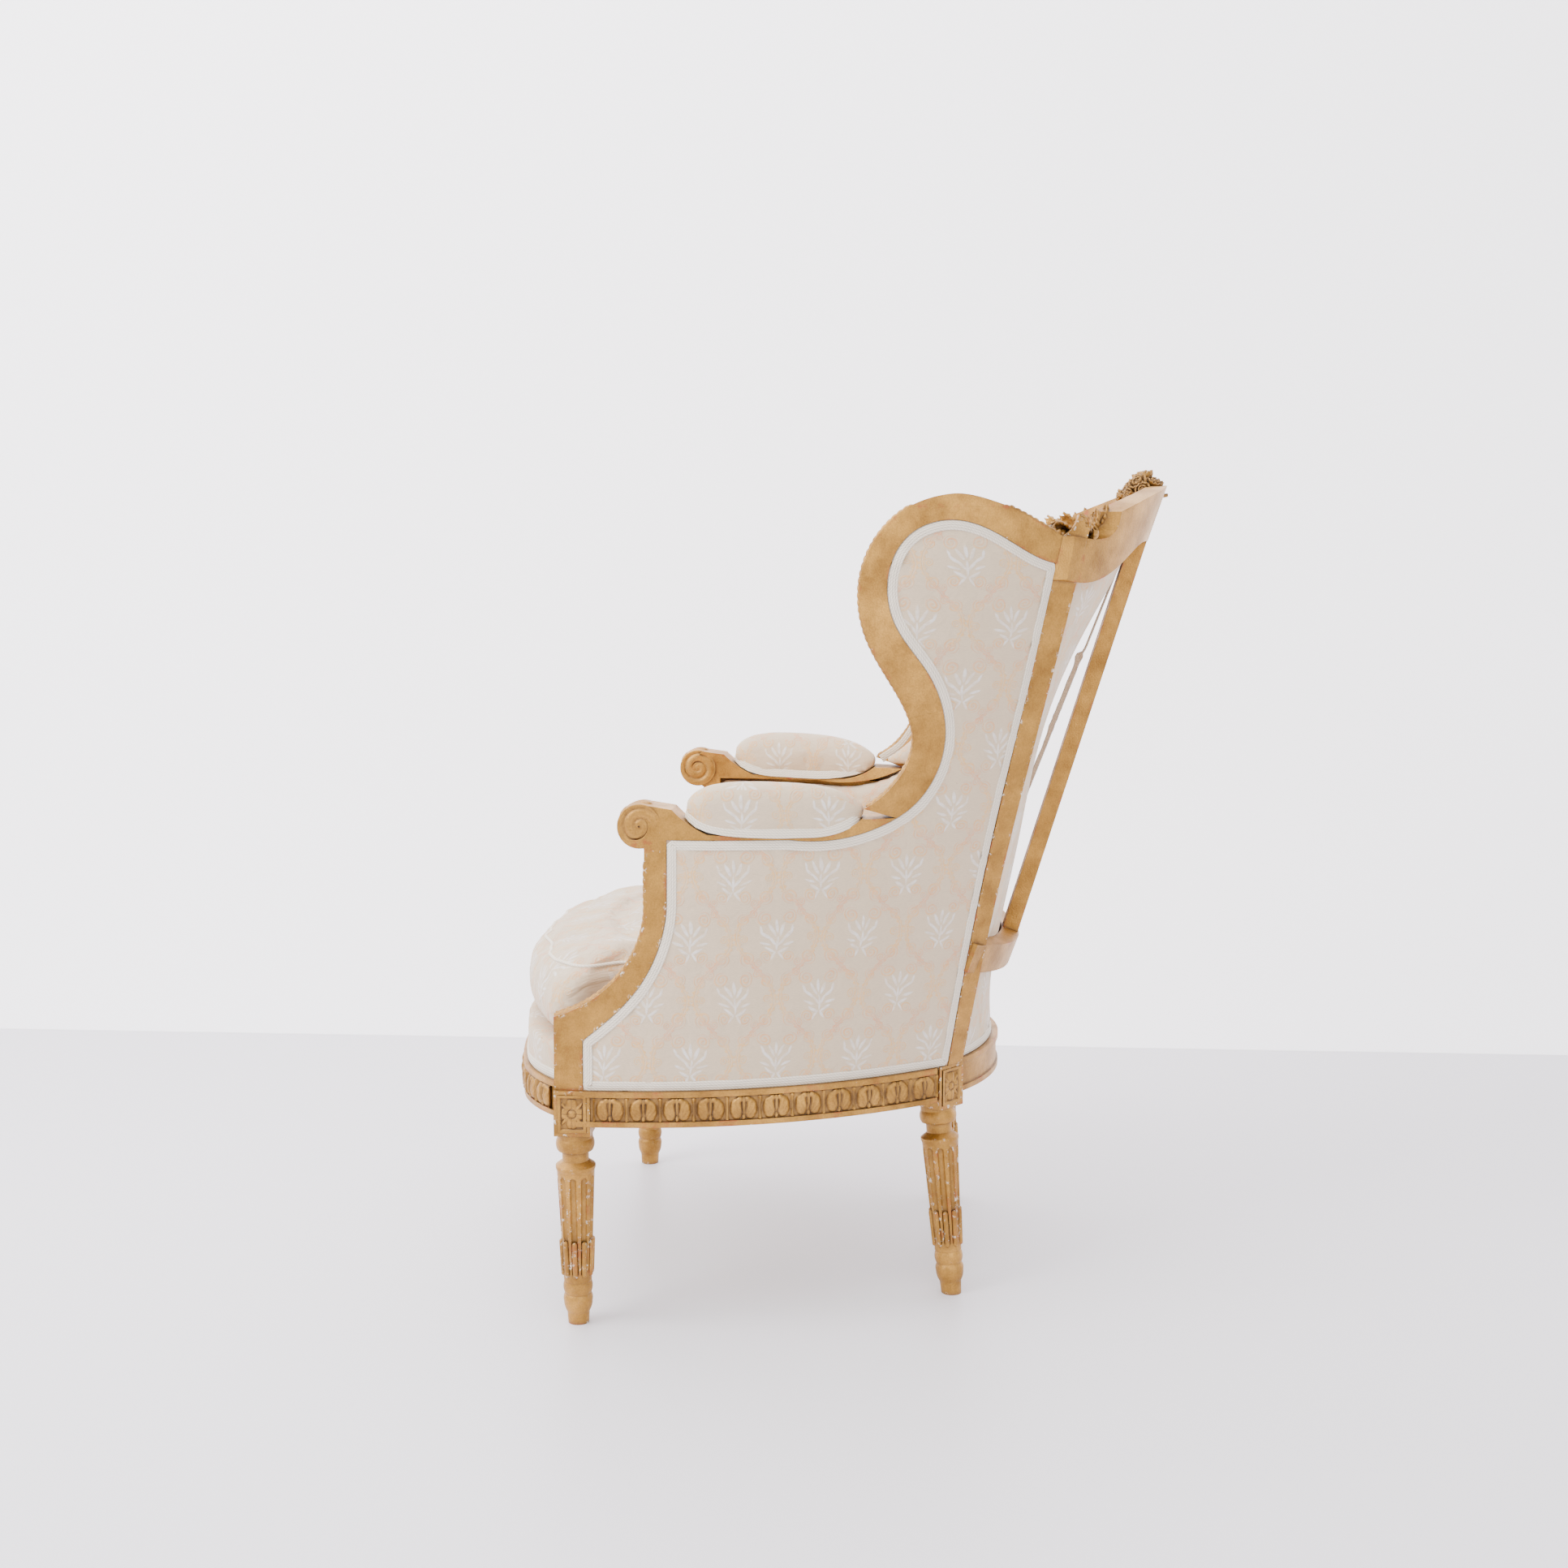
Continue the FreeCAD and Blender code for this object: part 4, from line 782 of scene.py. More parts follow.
def leaf_and_dart(pitch, depth):
    """Rail ornament: a pair of veined leaves with a bud, and a dart between pairs."""
    def height(u, v):
        x = (u / pitch) % 1.0 - 0.5
        side = np.abs(x)
        lobes = lobe(side, v, 0.20, -0.05, 0.205, 0.86)
        angle = np.arctan2(v + 0.95, (side - 0.02) * 2.4)
        veins = 0.5 + 0.5 * np.cos(angle * 19)
        carved = lobes ** 0.7 * (0.78 + 0.22 * veins)
        curl = lobe(side, v, 0.11, 0.72, 0.10, 0.26) * 0.85
        bud = lobe(x, v, 0.0, 0.30, 0.045, 0.75) * 1.1
        tip = lobe(x, v, 0.0, -0.72, 0.05, 0.28) * 0.9
        valley = np.clip(1 - np.abs(side - 0.055) / 0.022, 0, 1) * (v > -0.7) * 0.6
        dart_half = 0.022 + 0.034 * np.abs(v) ** 2.2
        dart = np.sqrt(np.clip(1 - ((0.5 - side) / dart_half) ** 2, 0, 1)) * 0.85
        high = np.maximum.reduce([carved - valley, curl, bud, tip, dart])
        return np.clip(high, 0, 1.2) * depth * np.clip((1 - np.abs(v)) * 12, 0, 1)
    return height


def rope(pitch, depth):
    """Twisted rope or ribbon: slanting strands with deep cuts between them."""
    def height(u, v):
        strand = np.abs(np.sin(np.pi * (u / pitch + v * 0.42)))
        crown = np.sqrt(np.clip(1 - v * v, 0, 1))
        return depth * crown * (0.25 + 0.75 * strand ** 0.55)
    return height


def leaf_strip(pitch, depth):
    """Overlapping leaves with a centre vein, all pointing along the strip."""
    def height(u, v):
        part = (u / pitch) % 1.0
        edge = 0.95 - 0.75 * part ** 2.5
        body = np.clip(1 - (np.abs(v) / np.maximum(edge, 0.05)) ** 3, 0, 1)
        rise = 0.45 + 0.55 * part
        veins = 0.85 + 0.15 * np.cos((np.abs(v) * 3.2 - part * 1.6) * math.tau)
        spine = np.clip(1 - np.abs(v) / 0.07, 0, 1) * 0.25
        return depth * (body * rise * veins + spine) * np.clip((1 - np.abs(v)) * 10, 0, 1)
    return height


def rosette(width, tall, depth):
    """Square panel: a raised border round a flower with four broad petals and four pointed ones."""
    def height(x, y):
        edge = np.minimum(width / 2 - np.abs(x), tall / 2 - np.abs(y))
        border = np.clip((0.0042 - edge) / 0.0008, 0, 1) * 0.85
        far = np.hypot(x, y)
        centre = np.sqrt(np.clip(1 - (far / 0.0042) ** 2, 0, 1)) * 1.15
        petals = np.zeros_like(x)
        for turn in range(4):
            angle = turn * math.pi / 2
            reach = 0.0115 if turn % 2 == 0 else 0.0135
            along = x * math.cos(angle) + y * math.sin(angle)
            across = -x * math.sin(angle) + y * math.cos(angle)
            petal = np.sqrt(np.clip(1 - ((along - 0.004 - reach / 2) / (reach / 2 + 0.002)) ** 2
                                    - (across / 0.0068) ** 2, 0, 1))
            cleft = np.clip(1 - np.abs(across) / 0.0009, 0, 1) * 0.35
            petals = np.maximum(petals, petal * 0.95 - cleft * (petal > 0))
            diagonal = angle + math.pi / 4
            along = x * math.cos(diagonal) + y * math.sin(diagonal)
            across = -x * math.sin(diagonal) + y * math.cos(diagonal)
            slim = 0.0022 * np.clip(1 - (along - 0.010) / 0.018, 0.1, 1)
            spear = np.sqrt(np.clip(1 - (across / slim) ** 2, 0, 1)) * (along > 0.003) * (along < 0.024)
            petals = np.maximum(petals, spear * 0.75)
        ring = np.clip(1 - np.abs(far - 0.0052) / 0.0008, 0, 1) * 0.5
        inner = np.maximum(petals - ring, centre) * np.clip((edge - 0.0044) / 0.0006, 0, 1)
        return depth * np.maximum(border, inner)
    return height


def panel_relief(name, centre, across, up, out, width, tall, height, step):
    """A flat carved panel from a height map over its own x and y."""
    columns, rows = round(width / step), round(tall / step)
    xs = np.linspace(-width / 2, width / 2, columns + 1)
    ys = np.linspace(-tall / 2, tall / 2, rows + 1)
    x, y = np.meshgrid(xs, ys, indexing="ij")
    high = height(x, y)
    spots = (np.array(centre) + x[..., None] * np.array(across) + y[..., None] * np.array(up)
             + (high + 0.0002)[..., None] * np.array(out))
    stride = rows + 1
    faces = [(i * stride + k, (i + 1) * stride + k, (i + 1) * stride + k + 1, i * stride + k + 1)
             for i in range(columns) for k in range(rows)]
    return new_object(name, spots.reshape(-1, 3), faces)


def petal_mesh(verts, faces, base, tip_way, face_way, length, width, cup, lobes=0, rows=8, columns=7):
    """Adds a curled petal or leaf to the lists: it grows from base along tip_way and cups to face_way."""
    side = tip_way.cross(face_way).normalized()
    start = len(verts)
    for i in range(rows + 1):
        t = i / rows
        half = width / 2 * math.sin(math.pi * min(t * 0.86 + 0.1, 1.0)) ** 0.75
        if lobes:
            half *= 0.78 + 0.22 * math.cos(t * lobes * math.tau)
        for k in range(columns + 1):
            s = 2 * k / columns - 1
            lift = cup * (t ** 2 * 0.9) * length + cup * 0.35 * width * s * s
            ridge = -0.12 * width * (1 - abs(s)) * (1 if lobes else 0)
            verts.append(base + tip_way * (t * length * (1 - 0.25 * cup * t)) + side * (s * half)
                         + face_way * (lift + ridge))
    for i in range(rows):
        for k in range(columns):
            a = start + i * (columns + 1) + k
            faces.append((a, a + 1, a + columns + 2, a + columns + 1))


def flower(verts, faces, centre, out, radius, rings=3):
    """A carved rose: rings of cupped petals about a domed heart."""
    out = out.normalized()
    side = out.orthogonal().normalized()
    other = out.cross(side)
    for ring in range(rings):
        count = 6 - ring
        reach = radius * (1 - ring * 0.27)
        for k in range(count):
            angle = math.tau * (k / count + ring * 0.13)
            way = (side * math.cos(angle) + other * math.sin(angle) + out * (0.25 + 0.5 * ring)).normalized()
            face = (out - way * out.dot(way)).normalized()
            petal_mesh(verts, faces, centre + out * (radius * 0.12 * ring), way, face, reach, reach * 1.15,
                       0.45, rows=6, columns=6)
    dome = len(verts)
    rows, columns = 5, 10
    for i in range(rows + 1):
        tilt = math.pi / 2 * i / rows
        for k in range(columns):
            angle = math.tau * k / columns
            verts.append(centre + out * (radius * (0.25 + 0.3 * math.cos(tilt)))
                         + (side * math.cos(angle) + other * math.sin(angle)) * radius * 0.3 * math.sin(tilt))
    for i in range(rows):
        for k in range(columns):
            a, b = dome + i * columns + k, dome + i * columns + (k + 1) % columns
            faces.append((a, b, b + columns, a + columns))


# Leaves at the crest's corner: root, heading, length and width of each
CORNER_LEAVES = [
    (0.186, 0.283, 0.928, (0.1, -0.9, 0.55), 0.036, 0.022),
    (0.196, 0.279, 0.928, (0.5, -0.7, 0.6), 0.033, 0.020),
    (0.176, 0.285, 0.930, (-0.4, -0.6, 0.7), 0.034, 0.020),
    (0.190, 0.282, 0.934, (0.0, -0.4, 0.9), 0.029, 0.022),
    (0.204, 0.274, 0.926, (0.7, -0.5, 0.4), 0.028, 0.017),
    (0.170, 0.288, 0.938, (-0.6, -0.2, 0.8), 0.028, 0.018),
    (0.186, 0.294, 0.936, (0.3, 0.5, 0.8), 0.026, 0.020),
    (0.178, 0.300, 0.938, (0.0, 0.8, 0.6), 0.030, 0.020),
    (0.168, 0.308, 0.946, (-0.2, 0.9, 0.5), 0.030, 0.018),
    (0.188, 0.304, 0.930, (0.6, 0.6, 0.4), 0.022, 0.016),
]


# Surfaces of the frame

def rail_line(name, axis, low, high, level, way, step):
    """Points and outward directions along a rail at one height, found by looking at it along way."""
    tree = tree_of(name)
    line, outs = [], []
    for k in range(161):
        spot = Vector((0, 0, level))
        spot[axis] = low + (high - low) * k / 160
        hit, normal, _, _ = tree.ray_cast(spot - way * 0.6, way)
        if hit is not None:
            line.append(hit)
            outs.append(normal)
    fine = even(line, step)
    near = near_tree(line)
    ways = tangents(fine)
    facing = sum(w.cross(UP).dot(outs[near.find(p)[1]]) for p, w in zip(fine, ways))
    sign = 1 if facing > 0 else -1
    flat = [(w.cross(UP) * sign).normalized() for w in ways]
    return fine, flat


def edge_line(points, side, depth, step, names):
    """A line on the front face of the wing or arm support, depth in from its outer side."""
    tree = tree_of(*names)
    line = smooth_curve([Vector((0, y, z)) for y, z in points], step)
    ways = tangents(line)
    found, outs = [], []
    for spot, way in zip(line, ways):
        out = Vector((0, way.z, -way.y))
        probe = spot - out * 0.004
        hit = tree.ray_cast(Vector((side * 0.6, probe.y, probe.z)), Vector((-side, 0, 0)))[0]
        if hit is None:
            continue
        spot = Vector((hit.x - side * depth, spot.y, spot.z))
        face, _, _, away = tree.find_nearest(spot)
        if face is not None and away < 0.004:
            found.append(face)
            outs.append(out)
    return found, outs


# Pieces

def scroll_faces(side, sign):
    """Places along X of the outer and the inner face of an arm's scroll."""
    tree = tree_of("armrest_" + side)
    middle = Vector((0, *SCROLL))
    outer = tree.ray_cast(middle + Vector((sign * 0.6, 0, 0)), Vector((-sign, 0, 0)))[0].x
    return outer, tree.ray_cast(middle, Vector((sign, 0, 0)))[0].x


def finish_node(name, material, slot):
    """Gives a CAD node its material; slot is not used."""
    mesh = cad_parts[name].data
    mesh.materials.clear()
    mesh.materials.append(material)


def outer_cover(name, node, keep, material, cloth_place, settings):
    """A stretched cover, which stands for a CAD cover."""
    piece = stretched_cloth(name, node, keep, settings.cell, settings.wadding, cloth_place)
    settle(piece, material, replaces=(node,))
    return piece


def trimmed_edges(name, pieces, settings, material, inset):
    """Gimp along the longest border of each piece."""
    strips = []
    for piece in pieces:
        rim = max(rim_loops(piece), key=lambda loop: length_of([p for p, n in loop]))
        line, outs = inset_line(rim, inset, 0.005)
        strips.append(gimp_along(name + "_strip", line, outs, settings, closed=True))
    return settle(join_pieces(name, strips), material)


class BERGERE_OT_gilded_frame(bpy.types.Operator):
    """Gilds the carved beech frame"""

    bl_idname = "bergere.gilded_frame"
    bl_label = "Gild the frame"

    def execute(self, context):
        gilding = context.scene.bergere_gilding
        plain = gold_leaf("water_gilded_beech", gilding, 0.45, 0.15)
        worn = gold_leaf("water_gilded_beech_worn", gilding, 0.6, 0.75)
        gold_leaf("water_gilded_carving", gilding, 0.0, 0.0)
        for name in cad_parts:
            base = name.removesuffix("_left").removesuffix("_right")
            if base in GILDED:
                finish_node(name, worn if base in WORN else plain, "gilded_beech")
        return {"FINISHED"}


class BERGERE_OT_wing_tops(bpy.types.Operator):
    """Rounds the tops of the wings over the solid's flat top"""

    bl_idname = "bergere.wing_tops"
    bl_label = "Round the wing tops"

    lean: FloatProperty(name="Lean", description="How far the wall leans in for each unit of height",
                        default=0.117)

    def execute(self, context):
        gold = bpy.data.materials["water_gilded_beech"]
        for side, sign in SIDES.items():
            tree = tree_of("wing_frame_" + side)
            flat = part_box("wing_frame_" + side)[1].z - 0.001
            verts, faces = [], []
            for spot in smooth_curve([Vector((0, y, z)) for y, z in WING_EDGE], 0.003):
                if spot.z < flat:
                    continue
                outer = tree.ray_cast(Vector((sign * 0.6, spot.y, flat)), Vector((-sign, 0, 0)))[0]
                inner = tree.ray_cast(Vector((0, spot.y, flat)), Vector((sign, 0, 0)))[0]
                if outer is None or inner is None:
                    continue
                rise = spot.z - flat
                shift = -sign * self.lean * rise
                verts += [outer, outer + Vector((shift, 0, rise)),
                          inner + Vector((shift, 0, rise)), inner]
            for i in range(len(verts) // 4 - 1):
                for k in range(3):
                    a = 4 * i + k
                    faces.append((a, a + 4, a + 5, a + 1) if sign > 0 else (a, a + 1, a + 5, a + 4))
            settle(new_object("wing_top_" + side, verts, faces), gold, smooth=False)
        return {"FINISHED"}


class BERGERE_OT_scrolls(bpy.types.Operator):
    """Turns the arms' scrolls, with a carved spiral on both faces"""

    bl_idname = "bergere.scrolls"
    bl_label = "Carve the scrolls"

    turns: FloatProperty(name="Turns", description="Turns of the spiral", default=2.1)
    depth: length_property("Depth", "Depth of the spiral's groove", 0.003)

    def execute(self, context):
        gold = bpy.data.materials["water_gilded_carving"]
        for side, sign in SIDES.items():
            outer, inner = scroll_faces(side, sign)
            radius = SCROLL_RADIUS + 0.0004
            steps, rings, bands = 120, 26, 8
            profile = [(radius * k / rings, outer, sign) for k in range(1, rings + 1)]
            profile += [(radius, outer + (inner - outer) * k / bands, 0) for k in range(1, bands)]
            profile += [(radius * k / rings, inner, -sign) for k in range(rings, 0, -1)]
            verts, faces = [], []
            for reach, x, way in profile:
                for k in range(steps):
                    angle = math.tau * k / steps
                    lift = way * self.swell(reach / radius, angle) if way else 0.0
                    verts.append(Vector((x + lift, SCROLL.x + reach * math.cos(angle),
                                         SCROLL.y + reach * math.sin(angle))))
            for i in range(len(profile) - 1):
                for k in range(steps):
                    a, b = i * steps + k, i * steps + (k + 1) % steps
                    faces.append((a, b, b + steps, a + steps))
            faces.append(tuple(range(steps)))
            faces.append(tuple(range((len(profile) - 1) * steps, len(profile) * steps)))
            settle(new_object("scroll_" + side, verts, faces), gold)
        return {"FINISHED"}

    def swell(self, reach, angle):
        """Height of the scroll's face: a rounded ridge that winds in to a boss."""
        wind = (reach * self.turns + angle / math.tau) % 1.0
        ridge = math.sin(math.pi * wind) ** 0.6
        boss = max(0.0, 1 - (reach / 0.2) ** 2)
        return 0.0006 + self.depth * (max(ridge, boss) - 0.75) * (1 - reach ** 12)


class BERGERE_OT_inner_works(bpy.types.Operator):
    """Colours the webbing, springs, hessian, stuffing and glued blocks"""

    bl_idname = "bergere.inner_works"
    bl_label = "Colour the inner works"

    def execute(self, context):
        beech = plain_wood("sawn_beech", "#8A6A4A")
        webbing = coarse_cloth("jute_webbing", "#A58A63", 2.5)
        hessian = coarse_cloth("jute_hessian", "#9A8360", 1.6)
        hair = coarse_cloth("curled_horsehair", "#3C3029", 1.2)
        steel = drawn_wire("drawn_spring_steel")
        finishes = {"corner_blocks": (beech, "bare_beech"), "tacking_rail": (beech, "bare_beech"),
                    "seat_webbing": (webbing, "jute_webbing"), "back_webbing": (webbing, "jute_webbing"),
                    "spring_hessian": (hessian, "jute_hessian"), "seat_stuffing": (hair, "horsehair"),
                    "seat_springs": (steel, "spring_wire")}
        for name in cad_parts:
            base = name.removesuffix("_left").removesuffix("_right")
            if base in finishes:
                finish_node(name, *finishes[base])
        return {"FINISHED"}


class BERGERE_OT_outer_covers(bpy.types.Operator):
    """Stretches damask over the outsides of the sides and the back, with gimp round each"""

    bl_idname = "bergere.outer_covers"
    bl_label = "Cover the outsides"

    def execute(self, context):
        cloth = context.scene.bergere_cloth
        fabric = damask("woven_damask", cloth, 0.35)
        cord = braid_cord("plaited_gimp", cloth)
        covers = [outer_cover("side_cloth_" + side, "outer_side_cover_" + side,
                              lambda f: f.normal.x * sign > OUTWARD, fabric, side_cloth, cloth)
                  for side, sign in SIDES.items()]
        covers += [outer_cover(name, node, lambda f: f.normal.y > OUTWARD, fabric, back_cloth, cloth)
                   for name, node in (("back_cloth", "outer_back_cover"),
                                      ("low_back_cloth", "lower_back_cover"))]
        trimmed_edges("outer_gimp", covers, cloth, cord, cloth.gimp_width * 0.5 + 0.0005)
        return {"FINISHED"}


class BERGERE_OT_inner_pads(bpy.types.Operator):
    """Pads and covers the insides of the arms, the wings and the back"""

    bl_idname = "bergere.inner_pads"
    bl_label = "Pad the insides"

    def execute(self, context):
        cloth = context.scene.bergere_cloth
        fabric = bpy.data.materials["woven_damask"]
        cord = bpy.data.materials["plaited_gimp"]
        for base, node in (("arm_inside", "inner_arm_pad"), ("wing_inside", "inner_wing_pad")):
            piece = plumped(base + "_left", node + "_left", 0.006, 0.0, 3.0, 0.006, rounds=2)
            other = mirrored_copy(piece, base + "_right")
            for made, side in ((piece, "_left"), (other, "_right")):
                write_uv(made.data, side_cloth)
                settle(made, fabric, replaces=(node + side,))
        piece = plumped("back_inside", "inner_back_pad", 0.007, 0.001, 4.0, 0.010)
        write_uv(piece.data, back_cloth)
        settle(piece, fabric, replaces=("inner_back_pad",))
        # Gimp inside the wing, where the pad meets the gilded edge
        strips = []
        for side, sign in SIDES.items():
            tree = tree_of("wing_frame_" + side, "wing_foot_" + side)
            line = smooth_curve([Vector((0, y, z)) for y, z in WING_EDGE], 0.005)
            spots, outs = [], []
            for spot, way in zip(line, tangents(line)):
                inward = Vector((0, -way.z, way.y))
                probe = spot + inward * 0.006
                hit = tree.ray_cast(Vector((0, probe.y, probe.z)), Vector((sign, 0, 0)))[0]
                if hit is not None:
                    spots.append(hit)
                    outs.append(Vector((-sign, 0, 0)))
            strips.append(gimp_along("inner_strip", spots, outs, cloth))
        settle(join_pieces("inner_gimp", strips), cord)
        return {"FINISHED"}


class BERGERE_OT_arm_pads(bpy.types.Operator):
    """Covers the pads on the arms, with gimp round their bases"""

    bl_idname = "bergere.arm_pads"
    bl_label = "Cover the arm pads"

    def execute(self, context):
        cloth = context.scene.bergere_cloth
        fabric = bpy.data.materials["woven_damask"]
        cord = bpy.data.materials["plaited_gimp"]
        piece = plumped("arm_pad_left_cloth", "arm_pad_left", 0.0045, 0.0005, 3.0, 0.004, rounds=1)
        subdivide(piece)
        low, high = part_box("arm_pad_left")
        heart = (low + high) / 2
        bm = bmesh.new()
        bm.from_mesh(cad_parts["arm_pad_left"].data)
        bmesh.ops.remove_doubles(bm, verts=bm.verts, dist=1e-5)
        bm.normal_update()
        foot = {}
        for edge in bm.edges:
            under = [f.normal.z < -0.4 for f in edge.link_faces]
            if len(under) == 2 and under[0] != under[1]:
                for vert in edge.verts:
                    turn = math.atan2((vert.co.y - heart.y) / (high.y - low.y),
                                      (vert.co.x - heart.x) / (high.x - low.x))
                    foot[round(turn * 24 / math.pi)] = vert.co + Vector((0, 0, 0.0045))
        bm.free()
        points = [foot[key] for key in sorted(foot)]
        line = even(softened(points, 2), 0.004, closed=True)
        middle = sum(line, Vector()) / len(line)
        outs = [w.cross(UP).normalized() for w in tangents(line, True)]
        outs = [o if o.dot(p - middle) > 0 else -o for o, p in zip(outs, line)]
        outs = [(o + Vector((0, 0, 0.35))).normalized() for o in outs]
        line = [p + o * 0.0008 for p, o in zip(line, outs)]
        gimp = gimp_along("arm_pad_gimp_left", line, outs, cloth, closed=True)
        other = mirrored_copy(piece, "arm_pad_right_cloth")
        other_gimp = mirrored_copy(gimp, "arm_pad_gimp_right")
        for made, side in ((piece, "left"), (other, "right")):
            write_uv(made.data, lambda co, p: (co.y, co.z if abs(p.normal.x) > abs(p.normal.z) else co.x))
            settle(made, fabric, replaces=("arm_pad_" + side,))
        for made in (gimp, other_gimp):
            settle(made, cord)
        return {"FINISHED"}


class BERGERE_OT_seat(bpy.types.Operator):
    """Covers the sprung seat and edges it with gimp along the rails"""

    bl_idname = "bergere.seat"
    bl_label = "Cover the seat"

    def execute(self, context):
        cloth = context.scene.bergere_cloth
        fabric = bpy.data.materials["woven_damask"]
        cord = bpy.data.materials["plaited_gimp"]
        low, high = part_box("seat_cover")
        piece = stretched_cloth("seat_cloth", "seat_cover",
                                lambda f: f.normal.z > 0.5 and f.calc_center_median().z > high.z - 0.003
                                or abs(f.normal.z) < 0.5 and not inside_deck(f, low, high),
                                cloth.cell * 1.4, 0.0, lambda co, p: (co.x, co.y + co.z), rounds=2)
        settle(piece, fabric, replaces=("seat_cover",))
        tree = tree_of("seat_cover")
        spots, outs = [], []
        for k in range(121):
            x = -0.300 + 0.6 * k / 120
            hit, normal, _, _ = tree.ray_cast(Vector((x, -0.6, low.z + 0.007)), Vector((0, 1, 0)))
            if hit is not None and normal.y < -0.3:
                spots.append(hit)
                outs.append(Vector((normal.x, normal.y, 0)).normalized())
        strip = gimp_along("seat_gimp", spots, outs, cloth)
        settle(strip, cord)
        return {"FINISHED"}


def inside_deck(face, low, high):
    """True on the inner walls of the seat cover, which face the middle of the seat."""
    centre = face.calc_center_median()
    middle = Vector(((low.x + high.x) / 2, (low.y + high.y) / 2, centre.z))
    return face.normal.dot(centre - middle) < 0


class BERGERE_OT_cushion(bpy.types.Operator):
    """Makes the loose feather cushion with its piped seam, pinched edge and soft folds"""

    bl_idname = "bergere.cushion"
    bl_label = "Make the cushion"

    seam_height: length_property("Seam height", "Height of the piped seam on the cushion's edge", 0.4245)
    piping: length_property("Piping", "Radius of the piping cord", 0.0024)

    def execute(self, context):
        cloth = context.scene.bergere_cloth
        fabric = damask("woven_damask_loose", cloth, 0.9)
        cord = bpy.data.materials["plaited_gimp"]
        low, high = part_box("seat_cushion")
        piece = plumped("cushion_cloth", "seat_cushion", 0.0065, 0.003, 3.0, 0.006, rounds=2)
        subdivide(piece)
        mesh = piece.data
        count = len(mesh.vertices)
        co = np.zeros(count * 3)
        normal = np.zeros(count * 3)
        mesh.vertices.foreach_get("co", co)
        mesh.vertices.foreach_get("normal", normal)
        co, normal = co.reshape(-1, 3), normal.reshape(-1, 3)
        off = np.abs(co[:, 2] - self.seam_height)
        steep = 1 - np.abs(normal[:, 2])
        pinch = np.exp(-(off / 0.006) ** 2) * np.clip(steep * 1.6, 0, 1) * 0.0035
        top = np.clip(normal[:, 2] * 1.4, 0, 1)
        edge = np.clip(steep * 1.4, 0, 1) * np.exp(-(off / 0.03) ** 2)
        waves = np.array([noise.noise(Vector((x * 17, y * 5.5, z * 9))) for x, y, z in co])
        tucks = np.array([noise.noise(Vector((x * 46, y * 46, z * 8 + 5))) for x, y, z in co])
        back = np.clip((co[:, 1] + 0.10) / 0.2, 0, 1)
        swell = top * (waves * 0.006 + tucks * 0.0012 * (1 + back)) + edge * tucks * 0.0028
        co = co + normal * (swell - pinch)[:, None]
        co[:, 2] = np.clip(co[:, 2], low.z, high.z + 0.006)
        mesh.vertices.foreach_set("co", co.ravel())
        mesh.update()

        def border(place, polygon):
            if abs(polygon.normal.z) > 0.6:
                return place.x, place.y
            return math.atan2(place.x, -place.y - 0.1) * 0.33, place.z

        write_uv(mesh, border)
        settle(piece, fabric, body="cushion", replaces=("seat_cushion",))
        tree = BVHTree.FromPolygons([Vector(p) for p in co], [list(p.vertices) for p in mesh.polygons])
        middle = Vector((0, (low.y + high.y) / 2, self.seam_height))
        line = []
        for k in range(400):
            way = Vector((math.cos(math.tau * k / 400), math.sin(math.tau * k / 400), 0))
            hit = tree.ray_cast(middle + way * 0.6, -way)[0]
            if hit is not None:
                line.append(hit)
        line = even(line, 0.004, closed=True)
        line = softened(line, 3)
        outs = [w.cross(UP).normalized() for w in tangents(line, True)]
        section = [(self.piping * math.sin(math.tau * k / 10), self.piping * math.cos(math.tau * k / 10))
                   for k in range(11)]
        pipe = sweep("cushion_piping", line, outs, section, closed=True)
        settle(pipe, cord, body="cushion")
        return {"FINISHED"}


class BERGERE_OT_rail_carving(bpy.types.Operator):
    """Carves leaves and darts along the side and front rails"""

    bl_idname = "bergere.rail_carving"
    bl_label = "Carve the rails"

    depth: length_property("Depth", "Height of the carving over the sunk band", 0.0052)
    band: length_property("Band", "Height of the carved band", 0.029)

    def execute(self, context):
        gilding = context.scene.bergere_gilding
        gold = bpy.data.materials["water_gilded_carving"]
        low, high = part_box("side_seat_rail_left")
        level = (low.z + high.z) / 2
        front_low, front_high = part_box("front_leg_left")
        line, outs = rail_line("side_seat_rail_left", 1, front_high.y + 0.002, high.y - 0.002, level,
                               Vector((-1, 0, 0)), 0.0012)
        left = self.strip("side_rail_carving_left", line, outs, gilding.motif_pitch)
        right = mirrored_copy(left, "side_rail_carving_right")
        end = front_low.x - 0.003
        line, outs = rail_line("front_seat_rail", 0, -end, end, level, Vector((0, 1, 0)), 0.0012)
        front = self.strip("front_rail_carving", line, outs, gilding.motif_pitch)
        for piece in (left, right, front):
            settle(piece, gold)
        return {"FINISHED"}

    def strip(self, name, line, outs, pitch):
        length = length_of(line)
        fitted = length / max(1, round(length / pitch))
        return relief(name, line, outs, [UP] * len(line), self.band, leaf_and_dart(fitted, self.depth),
                      0.0011, 0.0001)


